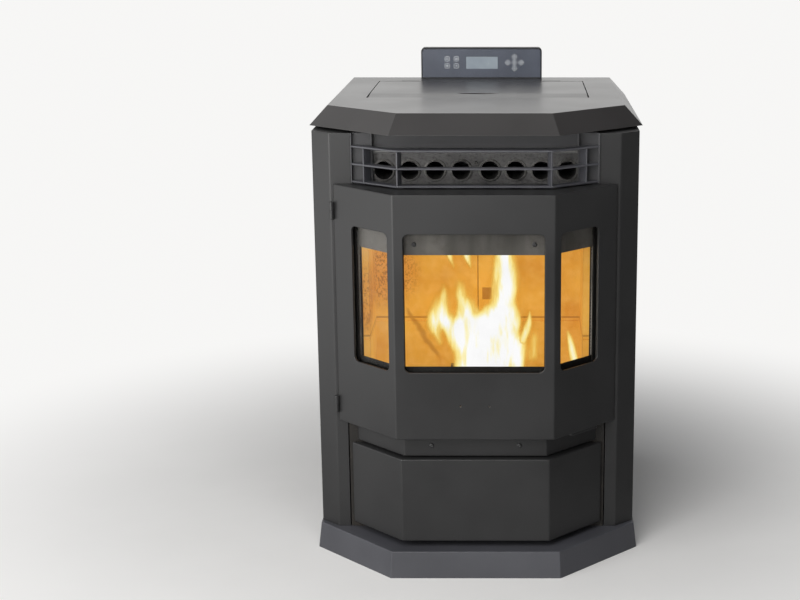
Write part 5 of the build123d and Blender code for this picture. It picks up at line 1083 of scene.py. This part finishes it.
toss = random.Random(11)
pellet_places, pellet_facings = [], []
for _ in range(PELLET_COUNT):
    x, y = [toss.uniform(-reach, reach) for reach in PELLET_SPREAD]
    lying = toss.uniform(0, 2 * math.pi)
    pellet_places.append((x, POT_MIDDLE_Y + y, bed_top(x, y) + toss.uniform(*PELLET_LIFT)))
    tilt = toss.uniform(-PELLET_TILT, PELLET_TILT)
    pellet_facings.append((math.cos(lying), math.sin(lying), tilt))
one_pellet = add_object("pellet_pattern", mesh_of("pellet_pattern", pellet))
pellets = lay_out("pellets", one_pellet, pellet_places, pellet_facings, "ember", FULL_TURN, 5)
dress(pellets, "ember", "stove")

# ---- the fire

FLAME_CELL = 2.8                         # the fire's shapes are laid out in millimetres, (x, z)
FLAME_THICK = 0.0016
FLAME_SWAY = 0.010
FLAME_MARGIN = 16                        # millimetres round the outlines that a sheet may fill
FLAME_FOOT = 10
FLAME_STIR = (3.0, 6.0)                  # millimetres by which noise moves its edges
BODY_OF_FIRE = [
    (-37, 318), (-46, 337), (-43, 364), (-56, 388), (-62, 408), (-69, 420), (-75, 403), (-72, 382),
    (-81, 397), (-93, 411), (-98, 428), (-95, 446), (-85, 465), (-74, 481), (-63, 506), (-58, 484),
    (-56, 464), (-52, 450), (-39, 442), (-37, 472), (-41, 494), (-35, 512), (-23, 488), (-11, 470),
    (-1, 455), (10, 455), (18, 466), (27, 470), (29, 496), (31, 526), (34, 556), (39, 590), (51, 618),
    (65, 592), (72, 556), (76, 526), (77, 502), (73, 474), (81, 454), (84, 434), (81, 412), (93, 402),
    (95, 374), (90, 337), (57, 318),
]
RIGHT_TONGUE = [(79, 398), (87, 424), (94, 442), (101, 466), (106, 438), (101, 412), (93, 392)]
LEFT_SPARK = [(-67, 575), (-64, 557), (-56, 548), (-43, 531), (-49, 557), (-47, 575)]
MIDDLE_SPARK = [(-34, 575), (-31, 557), (-20, 546), (-7, 529), (-11, 557), (-9, 575)]
RIGHT_GLOW = [(85, 340), (97, 402), (117, 424), (133, 392), (131, 342)]
FAR_TONGUE = [(181, 337), (182, 356), (178, 380), (173, 408), (173, 428), (185, 402), (195, 372), (200, 337)]
# outline, grown by, softness of its edge, heat inside
BACK_SHEET = [
    (BODY_OF_FIRE, 16, 46, 0.36),
    (LEFT_SPARK, 3, 14, 0.42),
    (MIDDLE_SPARK, 3, 14, 0.42),
    (RIGHT_GLOW, 4, 30, 0.20),
]
MIDDLE_SHEET = [(BODY_OF_FIRE, 8, 36, 1.1)]
FRONT_SHEET = [(RIGHT_TONGUE, 4, 14, 0.38), (FAR_TONGUE, 5, 16, 0.6)]
# shapes, y, seed of the noise that stirs them
SHEETS = ((BACK_SHEET, -0.139, 1.0), (MIDDLE_SHEET, -0.165, 5.0), (FRONT_SHEET, -0.190, 8.0))


def rounded(outline):
    """Cuts each corner of a closed outline once."""
    line = []
    for (x1, z1), (x2, z2) in zip(outline, outline[1:] + outline[:1]):
        line.append((0.8 * x1 + 0.2 * x2, 0.8 * z1 + 0.2 * z2))
        line.append((0.2 * x1 + 0.8 * x2, 0.2 * z1 + 0.8 * z2))
    return line


def depth_inside(u, v, outline):
    """Distance from the outline, positive inside it."""
    inside, nearest = False, math.inf
    for (x1, z1), (x2, z2) in zip(outline, outline[1:] + outline[:1]):
        if (z1 > v) != (z2 > v) and u < x1 + (v - z1) * (x2 - x1) / (z2 - z1):
            inside = not inside
        length = (x2 - x1) ** 2 + (z2 - z1) ** 2
        share = max(0.0, min(1.0, ((u - x1) * (x2 - x1) + (v - z1) * (z2 - z1)) / length))
        nearest = min(nearest, math.hypot(u - x1 - share * (x2 - x1), v - z1 - share * (z2 - z1)))
    return nearest if inside else -nearest


def smooth(share):
    share = max(0.0, min(1.0, share))
    return share * share * (3 - 2 * share)


def heat_at(u, v, shapes, seed):
    """Heat of a sheet of flame at (u, v), its edges stirred by noise."""
    drift = Vector((u / 26, v / 60, seed))
    u += FLAME_STIR[0] * noise.noise(drift)
    v += FLAME_STIR[1] * noise.noise(drift + Vector((0, 0, 9.3)))
    return max(
        heat * smooth((depth_inside(u, v, outline) + grown) / softness)
        for outline, grown, softness, heat in shapes
    )


def flame_sheet(shape, layer, shapes, y, seed):
    """A thin closed sheet, thickest where it is hottest."""
    shapes = [(rounded(outline), *rest) for outline, *rest in shapes]
    points = [point for outline, *_ in shapes for point in outline]
    low_u, low_v = min(p[0] for p in points) - FLAME_MARGIN, min(p[1] for p in points) - FLAME_FOOT
    across = int((max(p[0] for p in points) + FLAME_MARGIN - low_u) / FLAME_CELL)
    tall = int((max(p[1] for p in points) + FLAME_MARGIN - low_v) / FLAME_CELL)
    heat = {}
    for i in range(across + 1):
        for j in range(tall + 1):
            heat[i, j] = heat_at(low_u + i * FLAME_CELL, low_v + j * FLAME_CELL, shapes, seed)
    around = ((0, 0), (1, 0), (1, 1), (0, 1))
    cells = [
        (i, j)
        for i in range(across)
        for j in range(tall)
        if max(heat[i + a, j + b] for a, b in around) > 0
    ]
    kept = set(cells)
    front, back = {}, {}
    for i, j in cells:
        for a, b in around:
            key = (i + a, j + b)
            if key in front:
                continue
            whole = all((key[0] - c, key[1] - d) in kept for c, d in around)
            bulge = FLAME_THICK * (0.25 + math.sqrt(heat[key]))
            x, z = (low_u + key[0] * FLAME_CELL) / 1000, (low_v + key[1] * FLAME_CELL) / 1000
            curve = FLAME_SWAY * noise.noise(Vector((x * 14, z * 9, seed)))
            for store, way in ((front, -1), (back, 1)):
                if way == 1 and not whole:
                    store[key] = front[key]
                    continue
                vertex = shape.verts.new((x, y + curve + way * (bulge if whole else 0), z))
                vertex[layer] = heat[key] if whole else 0.0
                store[key] = vertex
    for i, j in cells:
        corners = [(i + a, j + b) for a, b in around]
        shape.faces.new([front[key] for key in corners])
        shape.faces.new([back[key] for key in reversed(corners)])


def fire(shape):
    layer = shape.verts.layers.float.new("fire_heat")
    for shapes, y, seed in SHEETS:
        flame_sheet(shape, layer, shapes, y, seed)


flames = add_object("flames", mesh_of("flames", fire))
flames.data.polygons.foreach_set("use_smooth", [True] * len(flames.data.polygons))
dress(flames, "flame", "stove")

# ---- studio

SHADE_SIDE = (0.86, -0.50, 0.0)          # the studio's dark side, in the stove's gloss and the soft fill
SHADE_LEVEL = 0.03
DIM_CORNER = (-0.80, 0.60, 0.0)          # the studio's dimmer back corner on the left

set_camera()


def card(nodes, kind, strength):
    """A plain light in the background's colour."""
    return nodes.first(kind, {"Color": (*BACKGROUND, 1), "Strength": strength})


def either(nodes, share, first, second):
    return nodes.first("ShaderNodeMixShader", {0: share, 1: first, 2: second})


ground = Finish("studio_floor", Roughness=0.75, Specular_IOR_Level=0.2)
grain = ground.band(ground.noise(3.0, 4.0), 0.3, 0.7)
ground.colour(ground.blend(grain, FLOOR_COLOUR, lighter(FLOOR_COLOUR, 0.97)))
far_off = ground.distance((0, 0, 0))
haze = ground.band(far_off, HAZE_START, HAZE_END)
plain = either(ground, haze, ground.shader.outputs[0], card(ground, "ShaderNodeEmission", 1.0))
# what the stove's gloss sees of the floor: bright far in front, dim close by, behind and on the dark side
near_ring = ground.band(far_off, 0.9, 1.8, 0.30, 0.95)
gloss = ground.maths("ADD", near_ring, ground.band(far_off, 2.2, 3.3, 0.0, 0.8))
aside = ground.measure("DOT_PRODUCT", ground.place, SHADE_SIDE)
gloss = ground.product(gloss, ground.band(aside, 0.1, 1.0, 1.0, SHADE_LEVEL))
gloss = ground.product(gloss, ground.band(ground.axis("Y", ground.place), -0.1, 0.7, 1.0, 0.25))
seen = ground.add("ShaderNodeLightPath").outputs["Is Glossy Ray"]
whole = either(ground, seen, plain, card(ground, "ShaderNodeEmission", gloss))
ground.link(whole, ground.output.inputs["Surface"])

studio_floor = add_object("studio_floor", ground_mesh())
set_finish(studio_floor, "studio_floor")

area_lamp("key_panel", (-2.0, -3.1, 1.6), (0, -0.1, 0.45), (4.2, 3.0), 3.2, (1.0, 0.99, 0.975))
top_panel = area_lamp("top_panel", (-0.2, -2.1, 3.1), (0, 0, 0.6), (3.0, 2.0), 2.4, (1.0, 1.0, 1.0))
top_panel.visible_glossy = False

world = bpy.data.worlds.new("studio")
bpy.context.scene.world = world
world.use_nodes = True
sky = Nodes(world.node_tree)
sky.tree.nodes.clear()
ray = sky.add("ShaderNodeLightPath").outputs
towards = sky.add("ShaderNodeTexCoord").outputs["Generated"]
# what the stove's gloss sees of the sky: dim on the dark side, overhead and in the back corner
lean = sky.measure("DOT_PRODUCT", towards, SHADE_SIDE)
corner = sky.measure("DOT_PRODUCT", towards, DIM_CORNER)
level = sky.product(
    sky.band(lean, -0.2, 0.4, 1.0, SHADE_LEVEL),
    sky.band(sky.axis("Z", towards), 0.35, 0.8, 1.0, 0.4, "LINEAR"),
    sky.band(corner, 0.72, 0.95, 1.0, 0.3, "LINEAR"),
)
fill_level = sky.band(lean, -0.3, 0.6, 0.22, 0.05, "LINEAR")
fill = sky.first("ShaderNodeBackground", {"Color": (0.95, 0.97, 1.0, 1), "Strength": fill_level})
lit = either(sky, ray["Is Glossy Ray"], fill, card(sky, "ShaderNodeBackground", level))
shown = sky.maths("MAXIMUM", ray["Is Camera Ray"], ray["Is Transmission Ray"])
seen_sky = either(sky, shown, lit, card(sky, "ShaderNodeBackground", 1.0))
sky.add("ShaderNodeOutputWorld", {"Surface": seen_sky})

bpy.context.scene.view_settings.view_transform = "Standard"
